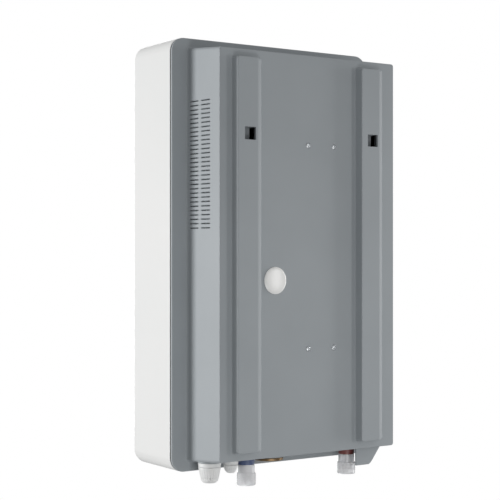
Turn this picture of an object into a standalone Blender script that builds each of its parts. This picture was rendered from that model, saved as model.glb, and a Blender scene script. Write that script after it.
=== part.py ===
# Wall-hung electric boiler with its cover, housing, water path and electrics.
# Metres, +Z up. The wall plane is Y = 0, the cover faces -Y, the vented side is +X.
# The origin lies on the wall plane, midway between the two hanging rails.
import math

import bmesh
import bpy
from mathutils import Matrix, Vector

# General fits
fit = 0.0003
overrun = 0.002

# Rear housing: drafted box, flange round it and a lip that the cover slides over
panel_width = 0.258
panel_height = 0.466
housing_depth = 0.062
housing_wall = 0.0025
side_draft = 0.003
end_draft = 0.005
panel_shift = -0.004
panel_corner = 0.003
root_fillet = 0.0043
flange_thickness = 0.003
lip_depth = 0.010
lip_thickness = 0.002

# How far the flange and the cover reach past the panel on each side
rim_vented = 0.0235
rim_plain = 0.0075
rim_end = 0.0165

# Hanging rails on the back and their hook holes
rail_inset = 0.0385
rail_width = 0.034
rail_end_gap = 0.010
rail_height = 0.011
rail_draft = 0.0012
rail_foot = 0.0018
rail_edge = 0.0007
rail_cells = 9
rail_rib = 0.002
hook_width = 0.0155
hook_tall = 0.0145
hook_drop = 0.096

# Side vents
vent_rows = 30
vent_pitch = 0.005
vent_slot = 0.0022
vent_long = 0.0175
vent_gap = 0.0045
vent_setback = 0.018
vent_drop = 0.0575

# Front cover
cover_depth = 0.094
cover_corner = 0.016
cover_wall = 0.0025
cover_draft = 0.0015
cover_edge = 0.012
seal_thickness = 0.0012
seal_width = 0.0018

# Cover screws, up through the bottom of the cover into the lip
cover_screw_inset = 0.0645
cover_screw_head = 0.003
cover_screw_shank = 0.0015
cover_screw_length = 0.009
cover_screw_sink = 0.0012

# Cross recesses, as shares of the screw head that they are cut in
cross_slot_share = 1 / 6
cross_reach_share = 2 / 3

# Display and buttons in the front
display_width = 0.090
display_tall = 0.034
display_drop = 0.1395
lens_flange = 0.004
lens_flange_thickness = 0.0015
button_radius = 0.007
button_spacing = 0.034
button_drop = 0.048
button_proud = 0.0012
button_edge = 0.0004
button_travel = 0.001
button_flange = 0.0018
button_flange_thickness = 0.0015
button_stem = 0.003
board_thickness = 0.0016
display_board_side = 0.013
display_board_top = 0.007
display_board_foot = 0.017
display_board_gap = 0.009
display_boss_radius = 0.0035

# Blanking plug over the rear cable entry
plug_radius = 0.0157
plug_inset = 0.0425
plug_down = 0.0296
plug_hole = 0.013
plug_dome = 0.0018
plug_edge = 0.0007
plug_skirt = 0.008
plug_skirt_wall = 0.0015
plug_crown_shares = (1 / 3, 2 / 3)

# Row of fittings under the floor
fitting_setback = 0.053
pad_margin = 0.0012
pad_rise = 0.0005

# Cable glands
mains_gland_inset = 0.0147
gland_spacing = 0.0294
mains_thread = 0.010
mains_flange = 0.0132
mains_bore = 0.0065
mains_body_drop = 0.0157
mains_nut_drop = 0.0230
mains_nut_end = 0.0099
control_thread = 0.0062
control_flange = 0.0088
control_bore = 0.0042
control_body_drop = 0.0088
control_nut_drop = 0.0142
control_nut_end = 0.0068
gland_flange_thickness = 0.0045
gland_stub = 0.010
gland_locknut_thickness = 0.005
gland_locknut_wall = 0.0035
gland_seal_wall = 0.0020
gland_seal_length = 0.0055
gland_nut_shoulder = 0.0027
gland_flutes = 10
gland_flute_depth = 0.0006
gland_round_share = 1 / 3
gland_lip_share = 1 / 8

# Water pipes, their collars and transit caps
inlet_spacing = 0.0224
outlet_inset = 0.040
pipe_radius = 0.0075
pipe_wall = 0.001
tail_drop = 0.026
collar_radius = 0.00975
collar_length = 0.0063
cap_sleeve_radius = 0.00965
cap_sleeve_length = 0.0097
cap_band_radius = 0.01105
cap_band_length = 0.0142
cap_end_wall = 0.0022
cap_end_dish = 0.002
cap_chamfer = 0.0007

# Lug moulded under the floor at the outlet side
lug_setback = 0.018
lug_thickness = 0.014
lug_edge = 0.002
lug_slant = 0.0105
lug_inset = 0.0443
lug_low_width = 0.0225
lug_top_width = 0.0408
lug_drop = 0.0222
lug_corner = 0.003

# Brass inlet block, strainer and its plug
block_left_margin = 0.0185
block_right_margin = 0.0125
block_deep = 0.028
block_tall = 0.027
strainer_spacing = 0.032
chamber_radius = 0.0123
chamber_roof = 0.007
channel_radius = 0.0048
channel_rise = 0.012
inlet_bore_depth = 0.0055
filter_plug_radius = 0.0175
filter_plug_thickness = 0.0062
filter_plug_shank = 0.012
filter_plug_rise = 0.0065
filter_plug_socket = 0.006
filter_plug_socket_depth = 0.0035
strainer_radius = 0.0095
strainer_wall = 0.001
strainer_slots = 3
strainer_slot_share = 1 / 4

# Flow sensor and its turbine
sensor_radius = 0.0145
sensor_bore = 0.0102
sensor_length = 0.036
spider_width = 0.0026
spider_thickness = 0.003
spider_hub = 0.003
turbine_radius = 0.0093
turbine_hub = 0.0028
turbine_length = 0.012
turbine_blades = 6
turbine_twist = 0.9
turbine_slices = 3
blade_root_share = 0.42
blade_tip_share = 0.05
axle_radius = 0.0009
axle_clearance = 0.00035

# Heater tank with its back plate and head
tank_offset = 0.01325
tank_rise = 0.0692
tank_width = 0.064
tank_deep = 0.048
tank_tall = 0.218
tank_wall = 0.007
tank_corner = 0.004
tank_ribs = 4
tank_rib = 0.002
tank_rib_reach = 0.0017
back_plate_width = 0.056
back_plate_margin = 0.019
back_plate_thickness = 0.0065
gasket_thickness = 0.001
head_thickness = 0.006
head_bolt_inset = 0.004
head_bolt_radius = 0.0015
head_bolt_head = 0.003
head_bolt_head_tall = 0.0035
head_bolt_length = 0.014
feed_radius = 0.006
pipe_stub = 0.004
outlet_port_drop = 0.018
outlet_bend_share = 2 / 3

# Heating elements
element_spacing = 0.016
element_span = 0.017
element_radius = 0.0035
element_stand = 0.009
element_foot = 0.016
stud_radius = 0.002
stud_length = 0.009

# Screws that hold the heater tank, seen as small sunk heads on the back
tank_screw_spacing = 0.0384
tank_screw_inset = 0.0092
tank_screw_head = 0.0024
tank_screw_shank = 0.0014
tank_screw_grip = 0.006
tank_screw_sink = 0.0008
tank_screw_head_tall = 0.0014

# Safety cut-out with its reset button
cutout_rib_gap = 0.0154
cutout_radius = 0.012
cutout_thickness = 0.006
cutout_neck_radius = 0.0042
cutout_neck = 0.006
reset_radius = 0.0022
reset_length = 0.0062
reset_travel = 0.0015
reset_proud = 0.0025

# Temperature sensor clipped on the outlet pipe
clip_gap = 0.0123
clip_wall = 0.0017
clip_length = 0.012
probe_width = 0.007
probe_long = 0.009

# Heat sink, triacs and boards
sink_gap = 0.0075
sink_width = 0.0205
sink_base = 0.004
sink_deep = 0.054
sink_fins = 7
sink_fin = 0.0016
triac_thickness = 0.0045
triac_deep = 0.015
triac_tall = 0.010
triac_tab = 0.0013
triac_count = 3
power_board_side_gap = 0.007
power_board_sink_gap = 0.024
power_board_margin = 0.010
power_board_gap = 0.0542
board_boss_radius = 0.0035
board_boss_inset = 0.006
relay_width = 0.028
relay_tall = 0.032
relay_deep = 0.022
relay_rise = 0.020
board_part_deep = 0.010
board_part_count = 3
board_part_tall = 0.01375
board_part_pitch = 0.031
board_part_rise = 0.0185

# Terminal block, earth stud and cable clamp
terminal_gap = 0.015
terminal_pole = 0.010
terminal_poles = 5
terminal_tall = 0.024
terminal_rise = 0.050
terminal_deep = 0.022
terminal_notch = 0.010
terminal_side_wall = 0.0015
terminal_mouth = 0.008
earth_gap = 0.033
earth_rise = 0.026
earth_radius = 0.006
earth_stud_radius = 0.0025
earth_nut_thickness = 0.004
earth_stud_length = 0.016
clamp_inset = 0.012
clamp_rise = 0.030
clamp_width = 0.040
clamp_tall = 0.010
clamp_foot = 0.009
clamp_thickness = 0.0025
clamp_arch = 0.010

# Facet counts
round_sides = 20
small_sides = 8
hidden_sides = 12
gland_sides = 16
pipe_sides = 10
bend_sides = 10
bend_steps = 6
corner_steps = 4
fillet_steps = 3
arc_steps = 6
hexagon_sides = 18

# Planes worked out from the sizes above
panel_y = -rail_height
rim_y = panel_y - housing_depth
flange_y = rim_y - flange_thickness
seal_y = flange_y - fit
cover_rear_y = seal_y - seal_thickness - fit
cover_front_y = rim_y - cover_depth
cover_inner_y = cover_front_y + cover_wall
panel_inner_y = panel_y - housing_wall
fitting_y = -fitting_setback
pad_low = -panel_height / 2 - end_draft
pad_high = -panel_height / 2 + pad_rise
under = pad_low - fit
inner_floor = pad_high + fit
rail_x = panel_width / 2 - rail_inset
rail_length = panel_height - 2 * rail_end_gap

# Outlines and places that follow the panel's edges
vented_x = panel_shift + panel_width / 2
plain_x = panel_shift - panel_width / 2
panel_top = panel_height / 2
cover_width = panel_width + rim_vented + rim_plain
cover_height = panel_height + 2 * rim_end
cover_shift = panel_shift + (rim_vented - rim_plain) / 2
cover_screw_spacing = cover_width - 2 * cover_screw_inset
hook_height = panel_top - hook_drop
vent_span = (vent_rows - 1) * vent_pitch
vent_low = panel_top - vent_drop - vent_span
display_height = cover_height / 2 - display_drop
button_height = display_height - button_drop
display_board_width = display_width + 2 * display_board_side
display_board_high = display_height + display_tall / 2 + display_board_top
display_board_low = button_height - button_radius - display_board_foot

# Row of fittings and what stands on it
mains_gland_side = vented_x - mains_gland_inset
control_gland_side = mains_gland_side - gland_spacing
inlet_side = control_gland_side - inlet_spacing
strainer_side = inlet_side - strainer_spacing
outlet_side = plain_x + outlet_inset
block_left = strainer_side - block_left_margin
block_right = inlet_side + block_right_margin
lug_side = plain_x + lug_inset
tank_side = (strainer_side + outlet_side) / 2 + tank_offset
plug_side = rail_x - plug_inset
tank_middle = inner_floor + block_tall + sensor_length + tank_rise + tank_tall / 2
back_plate_tall = tank_tall + 2 * back_plate_margin
tank_screw_rise = back_plate_tall - 2 * tank_screw_inset

# Electrics beside the vents, and wiring parts near the floor
sink_outer = vented_x - sink_gap
sink_inner = sink_outer - sink_width
sink_low = vent_low
sink_tall = vent_span
power_board_left = tank_side + tank_width / 2 + power_board_side_gap
power_board_width = sink_inner - power_board_sink_gap - power_board_left
power_board_low = sink_low - power_board_margin
power_board_tall = sink_tall + 2 * power_board_margin
terminal_left = outlet_side + terminal_gap
terminal_low = inner_floor + terminal_rise
earth_side = outlet_side + earth_gap
earth_height = inner_floor + earth_rise
clamp_side = mains_gland_side - clamp_inset
clamp_low = inner_floor + clamp_rise


def clear_scene():
    for item in list(bpy.data.objects):
        bpy.data.objects.remove(item, do_unlink=True)


def material(name, colour, roughness, metallic=0.0):
    """A plain Principled material; colour is linear red, green and blue."""
    made = bpy.data.materials.new(name)
    made.use_nodes = True
    shader = made.node_tree.nodes["Principled BSDF"]
    shader.inputs["Base Color"].default_value = (*colour, 1.0)
    shader.inputs["Roughness"].default_value = roughness
    shader.inputs["Metallic"].default_value = metallic
    return made


def place(name, body, finish):
    """Turns a bmesh into a named object and frees the bmesh."""
    bmesh.ops.recalc_face_normals(body, faces=body.faces)
    mesh = bpy.data.meshes.new(name)
    body.to_mesh(mesh)
    body.free()
    mesh.materials.append(finish)
    mesh.shade_smooth()
    mesh.set_sharp_from_angle(angle=math.radians(32))
    made = bpy.data.objects.new(name, mesh)
    bpy.context.scene.collection.objects.link(made)
    return made


def rounded_outline(half_wide, half_tall, corner, steps=corner_steps):
    """Points of a rounded rectangle, always 4 * (steps + 1) of them."""
    corner = min(corner, half_wide, half_tall)
    points = []
    for quarter in range(4):
        middle = Vector((half_wide - corner, half_tall - corner))
        if quarter in (1, 2):
            middle.x = -middle.x
        if quarter in (2, 3):
            middle.y = -middle.y
        for step in range(steps + 1):
            angle = math.pi / 2 * (quarter + step / steps)
            points.append(middle + corner * Vector((math.cos(angle), math.sin(angle))))
    return points


def ring(outline, y, shift_x=0.0, shift_z=0.0):
    return [Vector((p.x + shift_x, y, p.y + shift_z)) for p in outline]


def circle(radius, sides, z, x=0.0, y=0.0):
    turn = 2 * math.pi / sides
    return [Vector((x + radius * math.cos(turn * i), y + radius * math.sin(turn * i), z))
            for i in range(sides)]


def add_loft(body, rings, closed=False):
    """Skins rings of equal count; the ends get caps, or join when closed."""
    made = [[body.verts.new(p) for p in points] for points in rings]
    pairs = list(zip(made, made[1:]))
    if closed:
        pairs.append((made[-1], made[0]))
    else:
        body.faces.new(made[0])
        body.faces.new(made[-1])
    for low, high in pairs:
        for i in range(len(low)):
            j = (i + 1) % len(low)
            body.faces.new((low[i], low[j], high[j], high[i]))
    return body


def loft(rings, closed=False):
    return add_loft(bmesh.new(), rings, closed)


def add_box(body, low, high):
    x0, y0, z0 = low
    x1, y1, z1 = high
    base = [Vector((x0, y0, z0)), Vector((x1, y0, z0)), Vector((x1, y1, z0)), Vector((x0, y1, z0))]
    top = [Vector((p.x, p.y, z1)) for p in base]
    return add_loft(body, [base, top])


def box(low, high):
    return add_box(bmesh.new(), low, high)


def turned(profile, x, y, sides=round_sides, hollow=False):
    """Revolves (radius, height) points about a vertical axis."""
    return loft([circle(r, sides, z, x, y) for r, z in profile], closed=hollow)


def add_turned_y(body, profile, x, z, sides=round_sides):
    """Revolves (radius, Y) points about an axis that runs along Y."""
    turn = 2 * math.pi / sides
    rings = []
    for r, y in profile:
        rings.append([Vector((x + r * math.cos(turn * i), y, z + r * math.sin(turn * i)))
                      for i in range(sides)])
    return add_loft(body, rings)


def turned_y(profile, x, z, sides=round_sides):
    return add_turned_y(bmesh.new(), profile, x, z, sides)


def fluted(profile, x, y, count, depth):
    """Revolves like turned, with flutes where the third value is 1; the loop is closed."""
    sides = count * 2
    turn = 2 * math.pi / sides
    rings = []
    for r, z, cut in profile:
        points = []
        for i in range(sides):
            radius = r - depth * cut * (i % 2)
            points.append(Vector((x + radius * math.cos(turn * i), y + radius * math.sin(turn * i), z)))
        rings.append(points)
    return loft(rings, closed=True)


def sweep(path, radii, sides):
    """A solid tube along points, with a radius for each point."""
    rings = []
    tangent = (path[1] - path[0]).normalized()
    side = tangent.orthogonal().normalized()
    for i, point in enumerate(path):
        before = path[max(i - 1, 0)]
        after = path[min(i + 1, len(path) - 1)]
        along = (after - before).normalized()
        side = (side - along * side.dot(along)).normalized()
        other = along.cross(side)
        turn = 2 * math.pi / sides
        rings.append([point + radii[i] * (side * math.cos(turn * k) + other * math.sin(turn * k))
                      for k in range(sides)])
    return rings


def pipe(path, radius, wall, sides=pipe_sides):
    """A tube with its bore: the outer skin one way and the inner one back."""
    outer = sweep(path, [radius] * len(path), sides)
    inner = sweep(path, [radius - wall] * len(path), sides)
    return loft(outer + inner[::-1], closed=True)


def curve_points(start, start_pull, end_pull, end, steps):
    """Points of one cubic curve from start to end."""
    points = []
    for i in range(steps + 1):
        t = i / steps
        points.append((1 - t) ** 3 * start + 3 * (1 - t) ** 2 * t * start_pull
                      + 3 * (1 - t) * t ** 2 * end_pull + t ** 3 * end)
    return points


def combine(target, tool_body, operation):
    """Applies one exact Boolean of a bmesh tool to an object's mesh."""
    tool = place(target.name + "_tool", tool_body, target.data.materials[0])
    modifier = target.modifiers.new(operation, "BOOLEAN")
    modifier.operation = operation
    modifier.solver = "EXACT"
    modifier.object = tool
    view = bpy.context.evaluated_depsgraph_get()
    result = bpy.data.meshes.new_from_object(target.evaluated_get(view))
    target.modifiers.remove(modifier)
    old = target.data
    target.data = result
    bpy.data.meshes.remove(old)
    bpy.data.objects.remove(tool, do_unlink=True)
    target.data.shade_smooth()
    target.data.set_sharp_from_angle(angle=math.radians(32))
    return target


def cut(target, tool_body):
    return combine(target, tool_body, "DIFFERENCE")


def join(target, tool_body):
    return combine(target, tool_body, "UNION")


def floor_at(y):
    """Underside of the drafted floor at a place along Y."""
    return -panel_height / 2 - end_draft * (panel_y - y) / housing_depth


def housing_rings():
    """Rings of the one-piece moulding, from its outer back face to its inner one."""
    half_wide = panel_width / 2
    half_tall = panel_height / 2
    rings = [ring(rounded_outline(half_wide, half_tall, panel_corner), panel_y, panel_shift)]
    for step in range(fillet_steps + 1):
        angle = math.pi / 2 * step / fillet_steps
        flare = root_fillet * (1 - math.cos(angle))
        depth = housing_depth - root_fillet + root_fillet * math.sin(angle)
        share = min(depth / housing_depth, 1)
        outline = rounded_outline(half_wide + side_draft * share + flare,
                                  half_tall + end_draft * share + flare, panel_corner + flare)
        rings.append(ring(outline, panel_y - depth, panel_shift))
    outer = (cover_width / 2, cover_height / 2)
    lip_gap = cover_wall + fit
    flange = rounded_outline(outer[0], outer[1], cover_corner)
    lip = rounded_outline(outer[0] - lip_gap, outer[1] - lip_gap, cover_corner - lip_gap)
    lip_in = rounded_outline(outer[0] - lip_gap - lip_thickness, outer[1] - lip_gap - lip_thickness,
                             cover_corner - lip_gap - lip_thickness)
    rings.append(ring(flange, rim_y, cover_shift))
    rings.append(ring(flange, flange_y, cover_shift))
    rings.append(ring(lip, flange_y, cover_shift))
    rings.append(ring(lip, flange_y - lip_depth, cover_shift))
    rings.append(ring(lip_in, flange_y - lip_depth, cover_shift))
    rings.append(ring(lip_in, flange_y, cover_shift))
    mouth_share = (panel_y - flange_y) / housing_depth
    back_share = housing_wall / housing_depth
    for share, y in ((mouth_share, flange_y), (back_share, panel_inner_y)):
        outline = rounded_outline(half_wide + side_draft * share - housing_wall,
                                  half_tall + end_draft * share - housing_wall, panel_corner)
        rings.append(ring(outline, y, panel_shift))
    return rings


def rail_body(body, x):
    """One drafted hanging rail with a filleted foot, rooted inside the panel's thickness."""
    profile = [(rail_draft + rail_foot, panel_y - housing_wall / 2)]
    for step in range(fillet_steps):
        angle = math.pi / 2 * step / (fillet_steps - 1)
        flare = rail_draft + rail_foot * (1 - math.sin(angle))
        profile.append((flare, panel_y + rail_foot * (1 - math.cos(angle))))
    profile.append((0.0, -rail_edge))
    profile.append((-rail_edge, 0.0))
    rings = []
    for flare, y in profile:
        outline = rounded_outline(rail_width / 2 + flare, rail_length / 2 + flare, panel_corner + flare, 2)
        rings.append(ring(outline, y, x))
    return add_loft(body, rings)


def rail_hollows(body, x):
    """The cells behind one rail, parted by ribs; the one behind the hook hole keeps a floor."""
    half_wide = rail_width / 2 - housing_wall
    clear_length = rail_length - 2 * housing_wall
    cell = (clear_length - rail_rib * (rail_cells - 1)) / rail_cells
    for i in range(rail_cells):
        low = -clear_length / 2 + i * (cell + rail_rib)
        hooked = low < hook_height < low + cell
        root = panel_y if hooked else panel_inner_y - overrun
        add_box(body, (x - half_wide, root, low), (x + half_wide, -housing_wall, low + cell))
    return body


def vent_slots():
    """Two columns of slots through the +X side wall."""
    body = bmesh.new()
    for row in range(vent_rows):
        z = vent_low + row * vent_pitch
        for column in range(2):
            near = panel_y - vent_setback - column * (vent_long + vent_gap)
            add_box(body, (vented_x - housing_wall - overrun, near - vent_long, z - vent_slot / 2),
                    (vented_x + side_draft + overrun, near, z + vent_slot / 2))
    return body


def screw_places():
    """The four screws into the heater tank's back plate."""
    for dx in (-1, 1):
        for dz in (-1, 1):
            yield (tank_side + dx * tank_screw_spacing / 2, tank_middle + dz * tank_screw_rise / 2)


def board_boss_places():
    left = power_board_left + board_boss_inset
    right = power_board_left + power_board_width - board_boss_inset
    low = power_board_low + board_boss_inset
    high = power_board_low + power_board_tall - board_boss_inset
    return [(left, low), (left, high), (right, low), (right, high)]


def floor_fittings():
    """Side place, hole radius and pad radius of each fitting under the floor."""
    return [
        (mains_gland_side, mains_thread + fit, mains_flange + pad_margin),
        (control_gland_side, control_thread + fit, control_flange + pad_margin),
        (inlet_side, pipe_radius + fit, collar_radius + pad_margin),
        (outlet_side, pipe_radius + fit, collar_radius + pad_margin),
        (strainer_side, filter_plug_shank + fit, filter_plug_radius + pad_margin),
    ]


def make_rear_housing(finish):
    housing = place("rear_housing", loft(housing_rings()), finish)
    for x in (-rail_x, rail_x):
        join(housing, rail_body(bmesh.new(), x))
    hollows = bmesh.new()
    for x in (-rail_x, rail_x):
        rail_hollows(hollows, x)
    cut(housing, hollows)
    pads = bmesh.new()
    for x, hole, pad in floor_fittings():
        under_block = block_left < x < block_right
        top = pad_high - fit if under_block else pad_high
        add_loft(pads, [circle(pad, gland_sides, pad_low, x, fitting_y),
                        circle(pad, gland_sides, top, x, fitting_y)])
    join(housing, pads)
    low = (block_left - pad_margin, fitting_y - block_deep / 2 - pad_margin, floor_at(rim_y) + fit)
    high = (block_right + pad_margin, fitting_y + block_deep / 2 + pad_margin, pad_high - fit / 2)
    join(housing, box(low, high))
    join(housing, lug_body())
    bosses = bmesh.new()
    for x, z in board_boss_places():
        add_boss(bosses, x, z, panel_inner_y + housing_wall / 2, panel_inner_y - power_board_gap + fit)
    join(housing, bosses)
    holes = bmesh.new()
    for x, hole, pad in floor_fittings():
        add_loft(holes, [circle(hole, gland_sides, pad_low - overrun, x, fitting_y),
                         circle(hole, gland_sides, pad_high + overrun, x, fitting_y)])
    for x in (-rail_x, rail_x):
        add_box(holes, (x - hook_width / 2, -housing_wall - overrun, hook_height - hook_tall / 2),
                (x + hook_width / 2, overrun, hook_height + hook_tall / 2))
    for x, z in screw_places():
        sink = panel_y - tank_screw_sink - tank_screw_head_tall
        shank = tank_screw_shank + fit
        head = tank_screw_head + fit
        add_turned_y(holes, [(shank, panel_inner_y - overrun), (shank, sink), (head, sink),
                             (head, panel_y + overrun)], x, z, small_sides)
    add_tube_y(holes, plug_hole, panel_inner_y - overrun, panel_y + overrun, plug_side, -plug_down)
    cut(housing, holes)
    cut(housing, vent_slots())
    screws = bmesh.new()
    for x in cover_screw_places():
        z = -cover_height / 2 + cover_wall + fit
        add_loft(screws, [circle(cover_screw_shank + fit, small_sides, z - overrun, x, cover_screw_y()),
                          circle(cover_screw_shank + fit, small_sides, z + lip_thickness + overrun, x,
                                 cover_screw_y())])
    cut(housing, screws)
    return housing


def add_boss(body, x, z, root_y, tip_y):
    return add_turned_y(body, [(board_boss_radius, root_y), (board_boss_radius, tip_y)], x, z, small_sides)


def add_tube_y(body, radius, y0, y1, x, z):
    """A round rod along Y, with more sides when it is wide."""
    sides = round_sides if radius > board_boss_radius else small_sides
    return add_turned_y(body, [(radius, y0), (radius, y1)], x, z, sides)


def lug_body():
    """The tapered lug: its outer edge slants down, and its inner side slants away from the outlet."""
    low = floor_at(panel_y - lug_setback) - lug_drop
    top = floor_at(panel_y - lug_setback) + housing_wall / 2
    right = lug_side
    corner = lug_corner
    slope = (lug_top_width - lug_low_width) / (top - low)
    points = [Vector((right, low)), Vector((right, top)), Vector((right - lug_top_width, top)),
              Vector((right - lug_low_width - slope * corner, low + corner)),
              Vector((right - lug_low_width + corner / 2, low))]
    back = panel_y - lug_setback
    front = [Vector((min(p.x, right - lug_slant), p.y)) for p in points]
    return loft([ring(points, back), ring(points, back - lug_edge), ring(front, back - lug_thickness)])


def cover_screw_places():
    return (cover_shift - cover_screw_spacing / 2, cover_shift + cover_screw_spacing / 2)


def cover_screw_y():
    return cover_rear_y - (lip_depth - seal_thickness) / 2


def cover_outline(inset):
    corner = cover_corner - min(inset, cover_wall)
    return rounded_outline(cover_width / 2 - inset, cover_height / 2 - inset, corner)


def make_front_cover(finish):
    """The white shell: front face, rolled front edge, drafted sides and open back."""
    outer = []
    inner = []
    for step in range(fillet_steps + 2):
        angle = math.pi / 2 * (1 - step / (fillet_steps + 1))
        inset = cover_draft + cover_edge * (1 - math.cos(angle))
        y = cover_front_y + cover_edge * (1 - math.sin(angle))
        outer.append(ring(rounded_outline(cover_width / 2 - inset, cover_height / 2 - inset, cover_corner),
                          y, cover_shift))
        reach = cover_edge - cover_wall
        inset = cover_draft + cover_wall + reach * (1 - math.cos(angle))
        y = cover_inner_y + reach * (1 - math.sin(angle))
        inner.append(ring(rounded_outline(cover_width / 2 - inset, cover_height / 2 - inset,
                                          cover_corner - cover_wall), y, cover_shift))
    outer.append(ring(cover_outline(0.0), cover_rear_y, cover_shift))
    inner.append(ring(cover_outline(cover_wall), cover_rear_y, cover_shift))
    cover = place("front_cover", loft(outer + inner[::-1]), finish)
    bosses = bmesh.new()
    for x, z in display_boss_places():
        add_boss(bosses, x, z, cover_inner_y - cover_wall / 2, display_board_y() - fit)
    join(cover, bosses)
    openings = bmesh.new()
    half_wide = display_width / 2 + fit
    half_tall = display_tall / 2 + fit
    outline = rounded_outline(half_wide, half_tall, lens_flange, 3)
    add_loft(openings, [ring(outline, cover_front_y - overrun, cover_shift, display_height),
                        ring(outline, cover_inner_y + overrun, cover_shift, display_height)])
    for x in button_places():
        add_tube_y(openings, button_radius + fit, cover_front_y - overrun, cover_inner_y + overrun,
                   x, button_height)
    cut(cover, openings)
    cut(cover, cover_screw_cutters(cover_screw_shank + fit, cover_screw_head + fit))
    return cover


def cover_screw_cutters(shank, head):
    body = bmesh.new()
    sink = -cover_height / 2 + cover_screw_sink + fit
    for x in cover_screw_places():
        y = cover_screw_y()
        add_loft(body, [circle(head, small_sides, -cover_height / 2 - overrun, x, y),
                        circle(head, small_sides, sink, x, y),
                        circle(shank, small_sides, sink, x, y),
                        circle(shank, small_sides, -cover_height / 2 + cover_wall + overrun, x, y)])
    return body


def button_places():
    return (cover_shift - button_spacing, cover_shift, cover_shift + button_spacing)


def display_board_y():
    return cover_inner_y + display_board_gap


def display_middle():
    return (display_board_high + display_board_low) / 2


def display_boss_places():
    inset = display_boss_radius
    half_wide = display_board_width / 2 - inset
    half_tall = (display_board_high - display_board_low) / 2 - inset
    middle = display_middle()
    return [(cover_shift + dx * half_wide, middle + dz * half_tall) for dx in (-1, 1) for dz in (-1, 1)]


def make_cover_parts(finishes):
    seal_out = cover_outline(fit)
    seal_in = cover_outline(fit + seal_width)
    rings = [ring(seal_out, seal_y, cover_shift), ring(seal_out, seal_y - seal_thickness, cover_shift),
             ring(seal_in, seal_y - seal_thickness, cover_shift), ring(seal_in, seal_y, cover_shift)]
    place("cover_seal", loft(rings, closed=True), finishes["rubber"])
    for i, x in enumerate(cover_screw_places()):
        low = -cover_height / 2 + fit
        neck = low + cover_screw_sink - fit
        profile = [(cover_screw_head, low), (cover_screw_head, neck), (cover_screw_shank, neck),
                   (cover_screw_shank, low + cover_screw_length)]
        body = turned(profile, x, cover_screw_y(), small_sides)
        screw = place(f"cover_screw_{i + 1}", body, finishes["steel"])
        add_cross(screw, x, cover_screw_y(), low, cover_screw_head, cover_screw_sink)


def add_cross(screw, x, y, z, head, depth):
    """Cuts a cross recess up into a screw head that faces down."""
    half = head * cross_slot_share
    reach = head * cross_reach_share
    for wide, deep in ((reach, half), (half, reach)):
        cut(screw, box((x - wide, y - deep, z - overrun), (x + wide, y + deep, z + depth / 2)))


def make_display(finishes):
    half_wide = display_width / 2
    half_tall = display_tall / 2
    face = rounded_outline(half_wide, half_tall, lens_flange, 3)
    wide = rounded_outline(half_wide + lens_flange, half_tall + lens_flange, lens_flange, 3)
    shoulder = cover_inner_y + fit
    rings = [ring(face, cover_front_y + fit, cover_shift, display_height),
             ring(face, shoulder, cover_shift, display_height),
             ring(wide, shoulder, cover_shift, display_height),
             ring(wide, shoulder + lens_flange_thickness, cover_shift, display_height)]
    place("display_lens", loft(rings), finishes["smoked"])
    board_half_tall = (display_board_high - display_board_low) / 2
    board = rounded_outline(display_board_width / 2, board_half_tall, lens_flange, 2)
    y = display_board_y()
    faces = [ring(board, y, cover_shift, display_middle()),
             ring(board, y + board_thickness, cover_shift, display_middle())]
    made = place("display_board", loft(faces), finishes["board"])
    screen_half = (half_wide - lens_flange, half_tall - lens_flange)
    join(made, box((cover_shift - screen_half[0], shoulder + lens_flange_thickness + fit,
                    display_height - screen_half[1]),
                   (cover_shift + screen_half[0], y + board_thickness / 2, display_height + screen_half[1])))
    switches = bmesh.new()
    for x in button_places():
        top = y - button_stem / 2
        add_box(switches, (x - button_stem, top, button_height - button_stem),
                (x + button_stem, y + board_thickness / 2, button_height + button_stem))
    join(made, switches)
    for name, x in zip(("power_button", "minus_button", "plus_button"), button_places()):
        tip = y - button_stem / 2 - fit - button_travel
        flange = cover_inner_y + fit
        front = cover_front_y - button_proud
        profile = [(button_radius - button_edge, front), (button_radius, front + button_edge),
                   (button_radius, flange),
                   (button_radius + button_flange, flange),
                   (button_radius + button_flange, flange + button_flange_thickness),
                   (button_stem, flange + button_flange_thickness), (button_stem, tip)]
        button = place(name, turned_y(profile, 0.0, 0.0, gland_sides), finishes["key"])
        button.data.transform(Matrix.Translation((0.0, -front, 0.0)))
        button.location = (x, front, button_height)


def make_blanking_plug(finish):
    """A domed disc outside the panel with a split snap skirt through its hole."""
    face = panel_y + fit
    skirt = plug_hole - fit
    tip = panel_y - plug_skirt
    profile = [(plug_radius - plug_dome, face + plug_dome), (plug_radius, face + plug_edge),
               (plug_radius, face), (skirt, face), (skirt, tip), (skirt - plug_skirt_wall, tip),
               (skirt - plug_skirt_wall, face)]
    crown = [(plug_radius * share, face + plug_dome + plug_edge * (1 - share ** 2))
             for share in plug_crown_shares]
    plug = place("blanking_plug", turned_y(crown + profile, plug_side, -plug_down), finish)
    gaps = bmesh.new()
    add_box(gaps, (plug_side - plug_edge, tip - overrun, -plug_down - plug_radius),
            (plug_side + plug_edge, panel_inner_y, -plug_down + plug_radius))
    cut(plug, gaps)
    return plug


def make_tank_screws(finish):
    for i, (x, z) in enumerate(screw_places()):
        head = panel_y - tank_screw_sink
        neck = head - tank_screw_head_tall + fit
        end = panel_inner_y - fit - tank_screw_grip + fit
        profile = [(tank_screw_head, head), (tank_screw_head, neck), (tank_screw_shank, neck),
                   (tank_screw_shank, end)]
        screw = place(f"tank_screw_{i + 1}", turned_y(profile, x, z, small_sides), finish)
        half = tank_screw_head * cross_slot_share
        reach = tank_screw_head * cross_reach_share
        for wide, tall in ((reach, half), (half, reach)):
            cut(screw, box((x - wide, head - tank_screw_head_tall / 2, z - tall),
                           (x + wide, head + overrun, z + tall)))


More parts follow.
